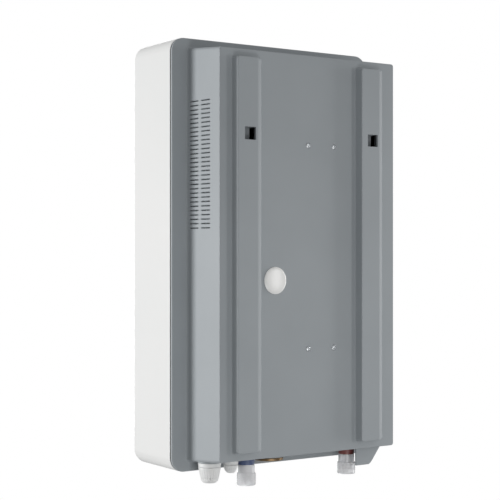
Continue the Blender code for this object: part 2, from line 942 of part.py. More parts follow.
def make_gland(name, x, sizes, finishes):
    """Body, locknut, seal and fluted dome nut of one cable gland."""
    thread, flange, bore, body_drop, nut_drop, nut_end = sizes
    y = fitting_y
    flange_low = under - gland_flange_thickness
    body_low = under - body_drop
    seat = body_low + gland_seal_length
    seal_out = bore + gland_seal_wall / 2
    profile = [(thread, pad_high + gland_stub), (thread, under), (flange, under), (flange, flange_low),
               (thread, flange_low), (thread, body_low), (seal_out + fit, body_low), (seal_out + fit, seat),
               (bore, seat), (bore, pad_high + gland_stub)]
    place(name + "_body", turned(profile, x, y, gland_sides, True), finishes["gland"])
    seal_top = seat - fit
    seal_low = body_low - gland_seal_wall / 2
    seal_in = seal_out - gland_seal_wall
    profile = [(seal_out, seal_top), (seal_out, seal_low), (seal_in, seal_low), (seal_in, seal_top)]
    place(name + "_seal", turned(profile, x, y, gland_sides, True), finishes["rubber"])
    top = flange_low - fit
    end = under - nut_drop
    shoulder = seal_low - fit
    lip = (shoulder - end) * gland_lip_share
    cut_off = gland_nut_shoulder * gland_round_share
    taper_end = end + gland_nut_shoulder
    profile = [(flange - fit, top, 0), (flange - fit, top - gland_flute_depth, 0),
               (flange - fit, top - 2 * gland_flute_depth, 1), (nut_end, taper_end, 1),
               (nut_end - cut_off, taper_end - gland_nut_shoulder + cut_off, 0),
               (nut_end - gland_nut_shoulder, end, 0), (seal_in + lip, end, 0), (seal_in, shoulder, 0),
               (thread + fit, shoulder, 0), (thread + fit, top, 0)]
    nut = place(name + "_nut", fluted(profile, 0.0, 0.0, gland_flutes, gland_flute_depth), finishes["gland"])
    nut.location = (x, y, 0.0)
    across = thread + gland_locknut_wall
    low = inner_floor
    high = low + gland_locknut_thickness
    turn = 2 * math.pi / hexagon_sides
    hexagon = []
    for i in range(hexagon_sides):
        angle = turn * i
        face_angle = (angle + math.pi / 6) % (math.pi / 3) - math.pi / 6
        hexagon.append(across / math.cos(face_angle) * math.cos(math.pi / 6))
    rings = []
    for z, outer in ((low, True), (high, True), (high, False), (low, False)):
        rings.append([Vector((x + (hexagon[i] if outer else thread + fit) * math.cos(turn * i),
                              y + (hexagon[i] if outer else thread + fit) * math.sin(turn * i), z))
                      for i in range(hexagon_sides)])
    place(name + "_locknut", loft(rings, closed=True), finishes["gland"])


def tail_end():
    return pad_low - tail_drop


def make_collar_and_cap(prefix, x, colour, finishes):
    y = fitting_y
    collar_low = under - collar_length
    bore = pipe_radius + fit
    profile = [(collar_radius, under), (collar_radius, collar_low), (bore, collar_low), (bore, under)]
    place(prefix + "_collar", turned(profile, x, y, hollow=True), finishes[colour])
    top = collar_low - fit
    band_top = top - cap_sleeve_length
    end = band_top - cap_band_length
    dish = cap_band_radius - cap_end_wall
    roof = tail_end() - fit
    profile = [(bore, roof), (bore, top), (cap_sleeve_radius, top), (cap_sleeve_radius, band_top),
               (cap_band_radius, band_top), (cap_band_radius, end + cap_chamfer),
               (cap_band_radius - cap_chamfer, end), (dish, end), (dish - cap_chamfer, end + cap_end_dish)]
    cap = place(prefix + "_cap", turned([(r, z - top) for r, z in profile], 0.0, 0.0), finishes["clear"])
    cap.location = (x, y, top)


def make_inlet(finishes):
    """Inlet tail, brass block with strainer, its plug and the flow sensor on top."""
    y = fitting_y
    base = inner_floor
    top = base + block_tall
    low = (block_left, y - block_deep / 2, base)
    high = (block_right, y + block_deep / 2, top)
    block = place("inlet_block", box(low, high), finishes["brass"])
    roof = top - chamber_roof
    channel = base + channel_rise
    bores = bmesh.new()
    add_loft(bores, [circle(chamber_radius, gland_sides, base - overrun, strainer_side, y),
                     circle(chamber_radius, gland_sides, roof, strainer_side, y)])
    add_loft(bores, [circle(pipe_radius + fit, gland_sides, base - overrun, inlet_side, y),
                     circle(pipe_radius + fit, gland_sides, base + inlet_bore_depth, inlet_side, y)])
    cut(block, bores)
    ways = bmesh.new()
    water = pipe_radius - pipe_wall
    add_loft(ways, [circle(water, hidden_sides, base + inlet_bore_depth - overrun, inlet_side, y),
                    circle(water, hidden_sides, channel + channel_radius, inlet_side, y)])
    water = sensor_bore - pipe_wall
    add_loft(ways, [circle(water, hidden_sides, roof - overrun, strainer_side, y),
                    circle(water, hidden_sides, top + overrun, strainer_side, y)])
    cut(block, ways)
    turn = 2 * math.pi / small_sides
    cross = []
    for x in (strainer_side + chamber_radius / 2, inlet_side):
        cross.append([Vector((x, y + channel_radius * math.cos(turn * i),
                              channel + channel_radius * math.sin(turn * i))) for i in range(small_sides)])
    cut(block, loft(cross))
    tail = [Vector((inlet_side, y, tail_end())), Vector((inlet_side, y, base + inlet_bore_depth - fit))]
    place("inlet_pipe", pipe(tail, pipe_radius, pipe_wall, bend_sides), finishes["copper"])
    low = under - filter_plug_thickness
    rise = base + filter_plug_rise
    profile = [(filter_plug_radius, under), (filter_plug_radius, low), (filter_plug_socket, low),
               (filter_plug_socket, low + filter_plug_socket_depth)]
    stem = [(filter_plug_shank, rise), (filter_plug_shank, under)]
    place("filter_plug", turned(stem + profile, strainer_side, y), finishes["brass"])
    low = rise + fit
    high = roof - fit
    wall = strainer_radius - strainer_wall
    profile = [(strainer_radius, low), (strainer_radius, high), (wall, high), (wall, low)]
    basket = place("inlet_strainer", turned(profile, strainer_side, y, hidden_sides, True), finishes["steel"])
    slots = bmesh.new()
    pitch = (high - low - 2 * strainer_wall) / strainer_slots
    half = pitch * strainer_slot_share
    for i in range(strainer_slots):
        z = low + strainer_wall + pitch * i + pitch / 2
        add_box(slots, (strainer_side - strainer_radius - overrun, y - strainer_radius / 2, z - half),
                (strainer_side + strainer_radius + overrun, y + strainer_radius / 2, z + half))
    cut(basket, slots)


def sensor_span():
    low = inner_floor + block_tall + fit
    return low, low + sensor_length


def turbine_span():
    low, high = sensor_span()
    return low + spider_thickness + fit, high - spider_thickness - fit


def make_flow_sensor(finishes):
    """Sensor body with a bearing spider at each end, and the turbine between them."""
    y = fitting_y
    x = strainer_side
    low, high = sensor_span()
    profile = [(sensor_radius, low), (sensor_radius, high), (sensor_bore, high), (sensor_bore, low)]
    body = place("flow_sensor_body", turned(profile, x, y, gland_sides, True), finishes["dark"])
    for base in (low, high - spider_thickness):
        reach = (sensor_bore + sensor_radius) / 2
        half = spider_width / 2
        spider = bmesh.new()
        add_box(spider, (x - reach, y - half, base), (x + reach, y + half, base + spider_thickness))
        join(body, spider)
        join(body, loft([circle(spider_hub, small_sides, base, x, y),
                         circle(spider_hub, small_sides, base + spider_thickness, x, y)]))
    hole = axle_radius + axle_clearance
    cut(body, loft([circle(hole, small_sides, low - overrun, x, y),
                    circle(hole, small_sides, high + overrun, x, y)]))
    start, end = turbine_span()
    step = 2 * math.pi / turbine_blades

    def star(z, twist):
        points = []
        for i in range(turbine_blades):
            middle_angle = step * i + twist
            for share, radius in ((-blade_root_share, turbine_hub), (-blade_tip_share, turbine_radius),
                                  (blade_tip_share, turbine_radius), (blade_root_share, turbine_hub)):
                angle = middle_angle + share * step
                points.append(Vector((radius * math.cos(angle), radius * math.sin(angle), z)))
        return points

    def axle(z, twist):
        lift = Vector((0.0, 0.0, z))
        return [Vector((p.x, p.y, 0.0)).normalized() * axle_radius + lift for p in star(z, twist)]

    half_length = (end - start) / 2 + spider_thickness - fit
    rings = [axle(-half_length, 0.0), axle(-turbine_length / 2, 0.0)]
    for i in range(turbine_slices):
        share = i / (turbine_slices - 1)
        rings.append(star(-turbine_length / 2 + turbine_length * share, turbine_twist * share))
    rings += [axle(turbine_length / 2, turbine_twist), axle(half_length, turbine_twist)]
    turbine = place("flow_turbine", loft(rings), finishes["white"])
    turbine.location = (x, y, (start + end) / 2)


def tank_low():
    return tank_middle - tank_tall / 2


def tank_top():
    return tank_middle + tank_tall / 2


def tank_back_y():
    return panel_inner_y - fit - back_plate_thickness


def tank_y():
    return tank_back_y() - tank_deep / 2


def make_tank(finishes):
    """Tank fused to its back plate, with its cavity, ports and blind screw holes."""
    back = panel_inner_y - fit
    low, top = tank_low(), tank_top()
    plate = rounded_outline(back_plate_width / 2, back_plate_tall / 2, tank_corner, 2)
    faces = [ring(plate, back, tank_side, tank_middle),
             ring(plate, tank_back_y() - fit, tank_side, tank_middle)]
    tank = place("heater_tank", loft(faces), finishes["tank"])
    middle = tank_y()

    def section(half_wide, half_deep, corner, z):
        outline = rounded_outline(half_wide, half_deep, corner, 2)
        return [Vector((tank_side + p.x, middle + p.y, z)) for p in outline]

    half_wide, half_deep = tank_width / 2, tank_deep / 2
    join(tank, loft([section(half_wide, half_deep, tank_corner, low),
                     section(half_wide, half_deep, tank_corner, top)]))
    ribs = bmesh.new()
    for i in range(1, tank_ribs + 1):
        z = low + (top - low) * i / (tank_ribs + 1)
        rib_wide = half_wide + tank_rib_reach
        add_box(ribs, (tank_side - rib_wide, middle - half_deep - tank_rib_reach, z - tank_rib / 2),
                (tank_side + rib_wide, middle + half_deep / 2, z + tank_rib / 2))
    join(tank, ribs)
    inner_wide, inner_deep = half_wide - tank_wall, half_deep - tank_wall
    cavity = [section(inner_wide, inner_deep, tank_corner, low + tank_wall),
              section(inner_wide, inner_deep, tank_corner, top + overrun)]
    cut(tank, loft(cavity))
    ports = bmesh.new()
    bore = feed_radius - pipe_wall
    add_loft(ports, [circle(bore, small_sides, low - overrun, tank_side, middle),
                     circle(bore, small_sides, low + tank_wall + overrun, tank_side, middle)])
    turn = 2 * math.pi / small_sides
    z = top - outlet_port_drop
    bore = pipe_radius - pipe_wall
    wall_x = tank_side - half_wide
    rings = []
    for x in (wall_x - overrun - tank_rib_reach, wall_x + tank_wall + overrun):
        rings.append([Vector((x, middle + bore * math.cos(turn * i), z + bore * math.sin(turn * i)))
                      for i in range(small_sides)])
    add_loft(ports, rings)
    for x, hole_z in screw_places():
        add_tube_y(ports, tank_screw_shank + fit, back - tank_screw_grip, back + overrun, x, hole_z)
    cut(tank, ports)
    bolts = bmesh.new()
    for x, y in head_bolt_places():
        add_loft(bolts, [circle(head_bolt_radius + fit, small_sides, top - head_bolt_length, x, y),
                         circle(head_bolt_radius + fit, small_sides, top + overrun, x, y)])
    cut(tank, bolts)
    make_head(finishes, section, top)


def head_bolt_places():
    half_wide = tank_width / 2 - head_bolt_inset
    half_deep = tank_deep / 2 - head_bolt_inset
    return [(tank_side + dx * half_wide, tank_y() + dy * half_deep) for dx in (-1, 1) for dy in (-1, 1)]


def make_head(finishes, section, bolts_top):
    half_wide, half_deep = tank_width / 2, tank_deep / 2 - fit
    inner_wide, inner_deep = tank_width / 2 - tank_wall, tank_deep / 2 - tank_wall
    low = bolts_top + fit
    high = low + gasket_thickness
    gasket = place("head_gasket", loft([section(half_wide, half_deep, tank_corner, low),
                                        section(half_wide, half_deep, tank_corner, high),
                                        section(inner_wide, inner_deep, tank_corner, high),
                                        section(inner_wide, inner_deep, tank_corner, low)], closed=True),
                   finishes["rubber"])
    plate_low = high + fit
    plate_top = plate_low + head_thickness
    faces = [section(half_wide, half_deep, tank_corner, plate_low),
             section(half_wide, half_deep, tank_corner, plate_top)]
    head = place("heater_head", loft(faces), finishes["brass"])
    clearance = bmesh.new()
    for x, y in head_bolt_places():
        add_loft(clearance, [circle(head_bolt_radius + fit, small_sides, low - overrun, x, y),
                             circle(head_bolt_radius + fit, small_sides, plate_top + overrun, x, y)])
    legs = bmesh.new()
    for x in element_places():
        for dy in (-1, 1):
            add_loft(legs, [circle(element_radius + fit, small_sides, plate_low - overrun, x,
                                   tank_y() + dy * element_span / 2),
                            circle(element_radius + fit, small_sides, plate_top + overrun, x,
                                   tank_y() + dy * element_span / 2)])
    cut(gasket, clearance.copy())
    cut(head, clearance)
    cut(head, legs)
    for i, (x, y) in enumerate(head_bolt_places()):
        seat = plate_top + fit
        profile = [(head_bolt_radius, bolts_top - head_bolt_length + fit), (head_bolt_radius, seat),
                   (head_bolt_head, seat), (head_bolt_head, seat + head_bolt_head_tall)]
        place(f"head_bolt_{i + 1}", turned(profile, x, y, small_sides), finishes["steel"])
    for i, x in enumerate(element_places()):
        make_element(f"heating_element_{i + 1}", x, plate_top, finishes["steel"])


def element_places():
    return (tank_side - element_spacing, tank_side, tank_side + element_spacing)


def make_element(name, x, head_top, finish):
    """One U-shaped rod with a threaded stud at each end."""
    bend = element_span / 2
    low = tank_low() + tank_wall + element_foot + bend
    high = head_top + element_stand
    path = [Vector((x, tank_y() - bend, high + stud_length)), Vector((x, tank_y() - bend, high + fit)),
            Vector((x, tank_y() - bend, high)), Vector((x, tank_y() - bend, low))]
    radii = [stud_radius, stud_radius, element_radius, element_radius]
    for i in range(1, arc_steps):
        angle = math.pi * i / arc_steps
        path.append(Vector((x, tank_y() - bend * math.cos(angle), low - bend * math.sin(angle))))
        radii.append(element_radius)
    path += [Vector((x, tank_y() + bend, low)), Vector((x, tank_y() + bend, high)),
             Vector((x, tank_y() + bend, high + fit)), Vector((x, tank_y() + bend, high + stud_length))]
    radii += [element_radius, element_radius, stud_radius, stud_radius]
    place(name, loft(sweep(path, radii, small_sides)), finish)


def outlet_bend_low():
    reach = tank_side - tank_width / 2 - fit - pipe_stub - outlet_side
    return tank_top() - outlet_port_drop - reach


def make_pipes(finishes):
    """Feed pipe from sensor to tank, and outlet pipe from tank to the tail under the floor."""
    y = fitting_y
    start = Vector((strainer_side, y, sensor_span()[1] + fit))
    end = Vector((tank_side, tank_y(), tank_low() - fit))
    stub = Vector((0.0, 0.0, pipe_stub))
    pull = Vector((0.0, 0.0, (end.z - start.z) / 2 - pipe_stub))
    curve = curve_points(start + stub, start + stub + pull, end - stub - pull, end - stub, bend_steps)
    path = [start] + curve + [end]
    place("feed_pipe", pipe(path, feed_radius, pipe_wall), finishes["copper"])
    port = tank_top() - outlet_port_drop
    start = Vector((tank_side - tank_width / 2 - fit, tank_y(), port))
    stub = Vector((-pipe_stub, 0.0, 0.0))
    reach = start.x - pipe_stub - outlet_side
    bend = Vector((outlet_side, y, outlet_bend_low()))
    pull = Vector((-reach * outlet_bend_share, 0.0, 0.0))
    rise = Vector((0.0, 0.0, reach * outlet_bend_share))
    path = [start] + curve_points(start + stub, start + stub + pull, bend + rise, bend, bend_steps)
    path.append(Vector((outlet_side, y, bend.z - pipe_stub)))
    path.append(Vector((outlet_side, y, tail_end())))
    place("outlet_pipe", pipe(path, pipe_radius, pipe_wall, bend_sides), finishes["copper"])


def make_cutout(finishes):
    """Round thermal cut-out on the front of the tank, with its reset button."""
    face = tank_back_y() - tank_deep - fit
    z = tank_low() + tank_tall * tank_ribs / (tank_ribs + 1) - cutout_rib_gap
    step = face - cutout_thickness
    tip = step - cutout_neck
    bore = reset_radius + fit
    inside = tip + reset_length - reset_proud + reset_travel + fit
    profile = [(cutout_radius, face), (cutout_radius, step), (cutout_neck_radius, step),
               (cutout_neck_radius, tip), (bore, tip), (bore, inside)]
    place("safety_cutout", turned_y(profile, tank_side, z, gland_sides), finishes["dark"])
    profile = [(reset_radius, 0.0), (reset_radius, reset_length)]
    button = place("cutout_button", turned_y(profile, 0.0, 0.0, small_sides), finishes["red"])
    button.location = (tank_side, tip - reset_proud, z)


def make_outlet_sensor(finishes):
    """Spring clip round the outlet pipe with its probe block."""
    z = outlet_bend_low() - clip_gap - clip_length
    inner = pipe_radius + fit
    outer = inner + clip_wall
    profile = [(outer, z), (outer, z + clip_length), (inner, z + clip_length), (inner, z)]
    body = turned(profile, outlet_side, fitting_y, hidden_sides, True)
    clip = place("outlet_sensor", body, finishes["dark"])
    half = probe_width / 2
    front = fitting_y - inner - clip_wall / 2
    join(clip, box((outlet_side - half, front - probe_long, z + clip_wall),
                   (outlet_side + half, front, z + clip_length - clip_wall)))
    cut(clip, box((outlet_side - clip_wall, fitting_y + inner / 2, z - overrun),
                  (outlet_side + clip_wall, fitting_y + outer + overrun, z + clip_length + overrun)))


def make_heat_sink(finishes):
    """Upright fins by the vents, one triac for each phase, and the power board."""
    back = panel_inner_y - fit
    front = back - sink_deep
    low, high = sink_low, sink_low + sink_tall
    base = box((sink_inner, front, low), (sink_inner + sink_base, back, high))
    sink = place("heat_sink", base, finishes["alloy"])
    fins = bmesh.new()
    for i in range(sink_fins):
        y = front + (sink_deep - sink_fin) * i / (sink_fins - 1)
        add_box(fins, (sink_inner + sink_base / 2, y, low), (sink_outer, y + sink_fin, high))
    join(sink, fins)
    face = sink_inner - fit
    middle = (back + front) / 2
    for i in range(triac_count):
        z = low + sink_tall / triac_count * i + sink_tall / triac_count / 2
        half_deep, half_tall = triac_deep / 2, triac_tall / 2
        triac = place(f"triac_{i + 1}", box((face - triac_thickness, middle - half_deep, z - half_tall),
                                            (face, middle + half_deep, z + half_tall)), finishes["dark"])
        join(triac, box((face - triac_tab, middle - half_deep / 2, z),
                        (face, middle + half_deep / 2, z + half_tall * 2)))
        legs = bmesh.new()
        for k in (-1, 0, 1):
            leg_y = middle + k * half_deep / 2
            add_box(legs, (face - triac_thickness / 2 - triac_tab, leg_y - triac_tab / 2, z - half_tall * 2),
                    (face - triac_thickness / 2, leg_y + triac_tab / 2, z - half_tall / 2))
        join(triac, legs)
    board_back = panel_inner_y - power_board_gap
    board_front = board_back - board_thickness
    right = power_board_left + power_board_width
    top = power_board_low + power_board_tall
    slab = box((power_board_left, board_front, power_board_low), (right, board_back, top))
    board = place("power_board", slab, finishes["board"])
    parts = bmesh.new()
    for i in range(board_part_count):
        z = power_board_low + relay_rise + relay_tall + board_part_rise + board_part_pitch * i
        add_box(parts, (right - relay_width, board_front - board_part_deep, z),
                (right - relay_width / 2, board_front + board_thickness / 2, z + board_part_tall))
    join(board, parts)
    low_z = power_board_low + relay_rise
    mid_x = power_board_left + power_board_width / 2
    case = box((mid_x - relay_width / 2, board_front - fit - relay_deep, low_z),
               (mid_x + relay_width / 2, board_front - fit, low_z + relay_tall))
    place("safety_relay", case, finishes["relay"])


def make_wiring_parts(finishes):
    """Terminal block, earth stud and cable clamp on the back panel's inner face."""
    back = panel_inner_y - fit
    width = terminal_pole * terminal_poles
    front = back - terminal_deep
    low, top = terminal_low, terminal_low + terminal_tall
    block = place("terminal_block", box((terminal_left, front, low), (terminal_left + width, back, top)),
                  finishes["terminal"])
    notches = bmesh.new()
    for i in range(terminal_poles):
        left = terminal_left + terminal_pole * i + terminal_side_wall
        right = terminal_left + terminal_pole * (i + 1) - terminal_side_wall
        add_box(notches, (left, front - overrun, low - overrun),
                (right, front + terminal_notch, low + terminal_mouth))
        add_box(notches, (left, front - overrun, top - terminal_mouth),
                (right, front + terminal_notch, top + overrun))
    cut(block, notches)
    stud = back - earth_stud_length
    nut = back - earth_nut_thickness
    profile = [(earth_radius, back), (earth_radius, nut), (earth_stud_radius, nut), (earth_stud_radius, stud)]
    place("earth_stud", turned_y(profile, earth_side, earth_height, hidden_sides), finishes["brass"])
    half = clamp_width / 2
    arch_half = half - clamp_foot
    foot_y = back - clamp_thickness
    outline = [(-half, back), (-half, foot_y), (-arch_half, foot_y)]
    turn = math.pi / arc_steps
    outline += [(-arch_half * math.cos(turn * i), foot_y - clamp_arch * math.sin(turn * i))
                for i in range(1, arc_steps)]
    outline += [(arch_half, foot_y), (half, foot_y), (half, back), (arch_half - clamp_thickness, back)]
    inner = arch_half - clamp_thickness
    outline += [(inner * math.cos(turn * i), back - clamp_arch * math.sin(turn * i))
                for i in range(1, arc_steps)]
    outline += [(-inner, back)]
    rings = [[Vector((clamp_side + x, y, z)) for x, y in outline]
             for z in (clamp_low, clamp_low + clamp_tall)]
    place("cable_clamp", loft(rings), finishes["gland"])


def make_finishes():
    return {
        "grey": material("grey_abs", (0.205, 0.226, 0.235), 0.45),
        "white_shell": material("white_abs", (0.83, 0.83, 0.83), 0.30),
        "white": material("white_acetal", (0.78, 0.78, 0.80), 0.40),
        "gland": material("light_grey_polyamide", (0.60, 0.60, 0.60), 0.45),
        "clear": material("translucent_polyethylene", (0.72, 0.72, 0.74), 0.30),
        "rubber": material("black_rubber", (0.03, 0.03, 0.03), 0.75),
        "smoked": material("smoked_acrylic", (0.02, 0.02, 0.025), 0.08),
        "board": material("green_board", (0.02, 0.16, 0.05), 0.50),
        "key": material("grey_key", (0.45, 0.46, 0.47), 0.40),
        "blue": material("blue_collar", (0.03, 0.08, 0.30), 0.45),
        "red": material("red_collar", (0.28, 0.02, 0.02), 0.45),
        "brass": material("brass", (0.65, 0.45, 0.18), 0.30, 1.0),
        "copper": material("copper", (0.70, 0.33, 0.18), 0.30, 1.0),
        "steel": material("plated_steel", (0.60, 0.60, 0.60), 0.30, 1.0),
        "alloy": material("aluminium", (0.70, 0.71, 0.72), 0.40, 1.0),
        "tank": material("glass_filled_nylon", (0.10, 0.10, 0.11), 0.55),
        "dark": material("black_phenolic", (0.04, 0.04, 0.045), 0.50),
        "relay": material("blue_relay_case", (0.05, 0.12, 0.30), 0.40),
        "terminal": material("cream_polyamide", (0.70, 0.68, 0.58), 0.50),
    }


def build():
    clear_scene()
    finishes = make_finishes()
    make_rear_housing(finishes["grey"])
    make_front_cover(finishes["white_shell"])
    make_cover_parts(finishes)
    make_display(finishes)
    make_blanking_plug(finishes["white"])
    make_tank_screws(finishes["steel"])
    mains = (mains_thread, mains_flange, mains_bore, mains_body_drop, mains_nut_drop, mains_nut_end)
    control = (control_thread, control_flange, control_bore, control_body_drop, control_nut_drop,
               control_nut_end)
    make_gland("mains_gland", mains_gland_side, mains, finishes)
    make_gland("control_gland", control_gland_side, control, finishes)
    make_collar_and_cap("inlet", inlet_side, "blue", finishes)
    make_collar_and_cap("outlet", outlet_side, "red", finishes)
    make_inlet(finishes)
    make_flow_sensor(finishes)
    make_tank(finishes)
    make_pipes(finishes)
    make_cutout(finishes)
    make_outlet_sensor(finishes)
    make_heat_sink(finishes)
    make_wiring_parts(finishes)


build()
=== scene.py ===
import math

import bmesh
import bpy
import numpy as np
from mathutils import Matrix, Vector


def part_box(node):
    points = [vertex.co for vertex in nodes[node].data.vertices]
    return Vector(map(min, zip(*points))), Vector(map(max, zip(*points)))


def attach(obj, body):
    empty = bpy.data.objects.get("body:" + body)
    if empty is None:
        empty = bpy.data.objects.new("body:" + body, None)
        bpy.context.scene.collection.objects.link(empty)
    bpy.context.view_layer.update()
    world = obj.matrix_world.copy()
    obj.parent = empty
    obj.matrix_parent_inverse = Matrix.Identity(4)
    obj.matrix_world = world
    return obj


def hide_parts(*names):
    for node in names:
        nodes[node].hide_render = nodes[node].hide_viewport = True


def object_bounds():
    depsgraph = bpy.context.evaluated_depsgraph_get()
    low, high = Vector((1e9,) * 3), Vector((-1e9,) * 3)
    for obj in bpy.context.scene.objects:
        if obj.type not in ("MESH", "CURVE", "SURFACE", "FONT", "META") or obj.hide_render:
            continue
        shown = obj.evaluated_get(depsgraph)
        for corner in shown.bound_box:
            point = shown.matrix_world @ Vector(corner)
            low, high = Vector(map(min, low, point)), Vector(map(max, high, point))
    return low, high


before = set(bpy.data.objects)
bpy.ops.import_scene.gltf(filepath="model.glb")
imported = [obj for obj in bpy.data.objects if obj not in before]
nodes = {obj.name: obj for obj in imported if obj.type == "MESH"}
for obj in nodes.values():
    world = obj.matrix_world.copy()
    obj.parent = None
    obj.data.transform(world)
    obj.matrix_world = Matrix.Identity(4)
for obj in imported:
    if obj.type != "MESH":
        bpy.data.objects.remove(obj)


def plainBox(corners):
    return [[float(c) for c in corner] for corner in corners]


cadBox = plainBox(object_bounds())
print("stage: frame loaded,", len(nodes), "nodes")


# Camera, floor and light

def addObject(name, data):
    made = bpy.data.objects.new(name, data)
    bpy.context.scene.collection.objects.link(made)
    return made


photo = {
    "place": (1.012, 1.2775, 0.0),
    "looksAlong": (-0.5847, -0.8113, 0.0),
    "sensor": 36.0,         # mm
    "focalPixels": 1400.0,
    "framePixels": 500.0,
    "horizonDrop": 4.8,     # pixels that the horizon lies below the middle
    "nearest": 0.01,
}


def addCamera(spec):
    data = bpy.data.cameras.new("camera")
    data.sensor_width = spec["sensor"]
    data.lens = spec["focalPixels"] / spec["framePixels"] * spec["sensor"]
    data.shift_y = spec["horizonDrop"] / spec["framePixels"]
    data.clip_start = spec["nearest"]
    camera = addObject("camera", data)
    camera.location = spec["place"]
    camera.rotation_euler = Vector(spec["looksAlong"]).to_track_quat("-Z", "Y").to_euler()
    bpy.context.scene.camera = camera


studio = {
    "floorDrop": 0.50,      # below the object's lowest point, because the boiler hangs
    "floorReach": 1.6,
    "floorTint": "#f4f5f6",
    "floorGlow": 0.34,      # the paper's own brightness
    "floorFibre": 40.0,     # mm
    "floorRough": (0.80, 0.95),
    "backdrop": 1.0,        # what the camera sees past the floor, also through clear plastic
    "roomLight": 0.23,      # what the same room throws on the object, level with it
    "ceilingLight": 0.46,   # and from overhead
    "ceilingRise": 0.7,     # a direction that rises by this share meets the full ceiling light
    "lights": {             # place, aims at, width, height, watts
        "key": ((2.45, -1.45, 0.0), (0.0, -0.08, 0.0), 1.0, 0.9, 52.0),
        "cameraFill": ((0.7, 2.1, 0.3), (0.0, 0.0, 0.0), 1.2, 1.2, 2.0),
        "lowFill": ((0.3, 1.1, -0.6), (0.0, 0.0, -0.26), 0.7, 0.5, 3.8),
        "rearEdge": ((-1.17, 0.27, -0.05), (-0.05, 0.0, 0.0), 0.25, 1.0, 4.6),
        "plugSheen": ((-0.86, 1.20, 0.0), (0.05, 0.0, 0.0), 0.22, 0.4, 1.8),
        "front": ((-0.9, -2.8, 0.3), (0.0, -0.1, 0.0), 1.8, 1.8, 24.0),
    },
}


def addArea(name, place, target, width, height, watts):
    data = bpy.data.lights.new(name, "AREA")
    data.shape = "RECTANGLE"
    data.size = width
    data.size_y = height
    data.energy = watts
    light = addObject(name, data)
    light.location = place
    light.rotation_euler = (Vector(target) - Vector(place)).to_track_quat("-Z", "Y").to_euler()


def linear(code):
    # sRGB hex to linear
    values = [int(code[i:i + 2], 16) / 255 for i in (1, 3, 5)]
    return tuple(v / 12.92 if v <= 0.04045 else ((v + 0.055) / 1.055) ** 2.4 for v in values) + (1.0,)


def addNode(tree, kind, settings=None, links=None):
    # a link that names a whole node takes its first output
    made = tree.nodes.new(kind)
    for key, value in (settings or {}).items():
        if isinstance(key, int) or (key in made.inputs and not hasattr(made, key)):
            made.inputs[key].default_value = value
        else:
            setattr(made, key, value)
    for key, source in (links or {}).items():
        tree.links.new(source.outputs[0] if isinstance(source, bpy.types.Node) else source, made.inputs[key])
    return made


def addRoom(spec):
    world = bpy.data.worlds.new("studioRoom")
    world.use_nodes = True
    tree = world.node_tree
    tree.nodes.clear()
    path = addNode(tree, "ShaderNodeLightPath").outputs
    seen = addNode(tree, "ShaderNodeMath", {"operation": "MAXIMUM"},
                   {0: path["Is Camera Ray"], 1: path["Is Transmission Ray"]})
    heading = addNode(tree, "ShaderNodeTexCoord").outputs["Generated"]
    height = addNode(tree, "ShaderNodeSeparateXYZ", links={0: heading}).outputs[2]
    levels = {"From Max": spec["ceilingRise"], "To Min": spec["roomLight"], "To Max": spec["ceilingLight"]}
    thrown = addNode(tree, "ShaderNodeMapRange", levels, {"Value": height})
    strength = addNode(tree, "ShaderNodeMapRange", {"To Max": spec["backdrop"]},
                       {"Value": seen, "To Min": thrown})
    glow = addNode(tree, "ShaderNodeBackground", {"Color": linear("#ffffff")}, {"Strength": strength})
    addNode(tree, "ShaderNodeOutputWorld", links={"Surface": glow})
    bpy.context.scene.world = world
    bpy.context.scene.view_settings.view_transform = "Standard"
    for name, light in spec["lights"].items():
        addArea(name, *light)


def perMm(size):
    # texture scale whose features measure this many millimetres
    return 1000.0 / size


def newFinish(name, constants):
    made = bpy.data.materials.new(name)
    made.use_nodes = True
    tree = made.node_tree
    shader = tree.nodes["Principled BSDF"]
    for key, value in constants.items():
        shader.inputs[key].default_value = value
    return made, tree, shader, addNode(tree, "ShaderNodeTexCoord").outputs["Object"]


def addFloor(spec):
    made, tree, shader, place = newFinish("paleFloorPaper", {
        "Base Color": linear(spec["floorTint"]), "Emission Color": linear("#ffffff"),
        "Emission Strength": spec["floorGlow"]})
    fibre = addNode(tree, "ShaderNodeTexNoise", {"Scale": perMm(spec["floorFibre"])}, {"Vector": place})
    smooth, dull = spec["floorRough"]
    rough = addNode(tree, "ShaderNodeMapRange", {"To Min": smooth, "To Max": dull}, {"Value": fibre})
    tree.links.new(rough.outputs[0], shader.inputs["Roughness"])
    low = cadBox[0][2] - spec["floorDrop"]
    reach = spec["floorReach"]
    # the paper fades into the backdrop before its edge
    away = addNode(tree, "ShaderNodeVectorMath", {"operation": "LENGTH"}, {0: place}).outputs["Value"]
    fading = {"From Min": abs(low), "From Max": math.hypot(reach, low), "To Min": 1.0, "To Max": 0.0}
    fade = addNode(tree, "ShaderNodeMapRange", fading, {"Value": away})
    tree.links.new(fade.outputs[0], shader.inputs["Alpha"])
    mesh = bpy.data.meshes.new("floor")
    corners = [(-reach, -reach, low), (reach, -reach, low), (reach, reach, low), (-reach, reach, low)]
    mesh.from_pydata(corners, [], [(0, 1, 2, 3)])
    mesh.materials.append(made)
    floor = addObject("floor", mesh)
    floor.visible_diffuse = False   # throws no light up, so the undersides shade off as on the photo


addCamera(photo)
addRoom(studio)
addFloor(studio)
print("stage: camera, room and floor")


# Finishes

def asTable(columns, rows):
    return {name: dict(zip(columns, row)) for name, row in rows.items()}


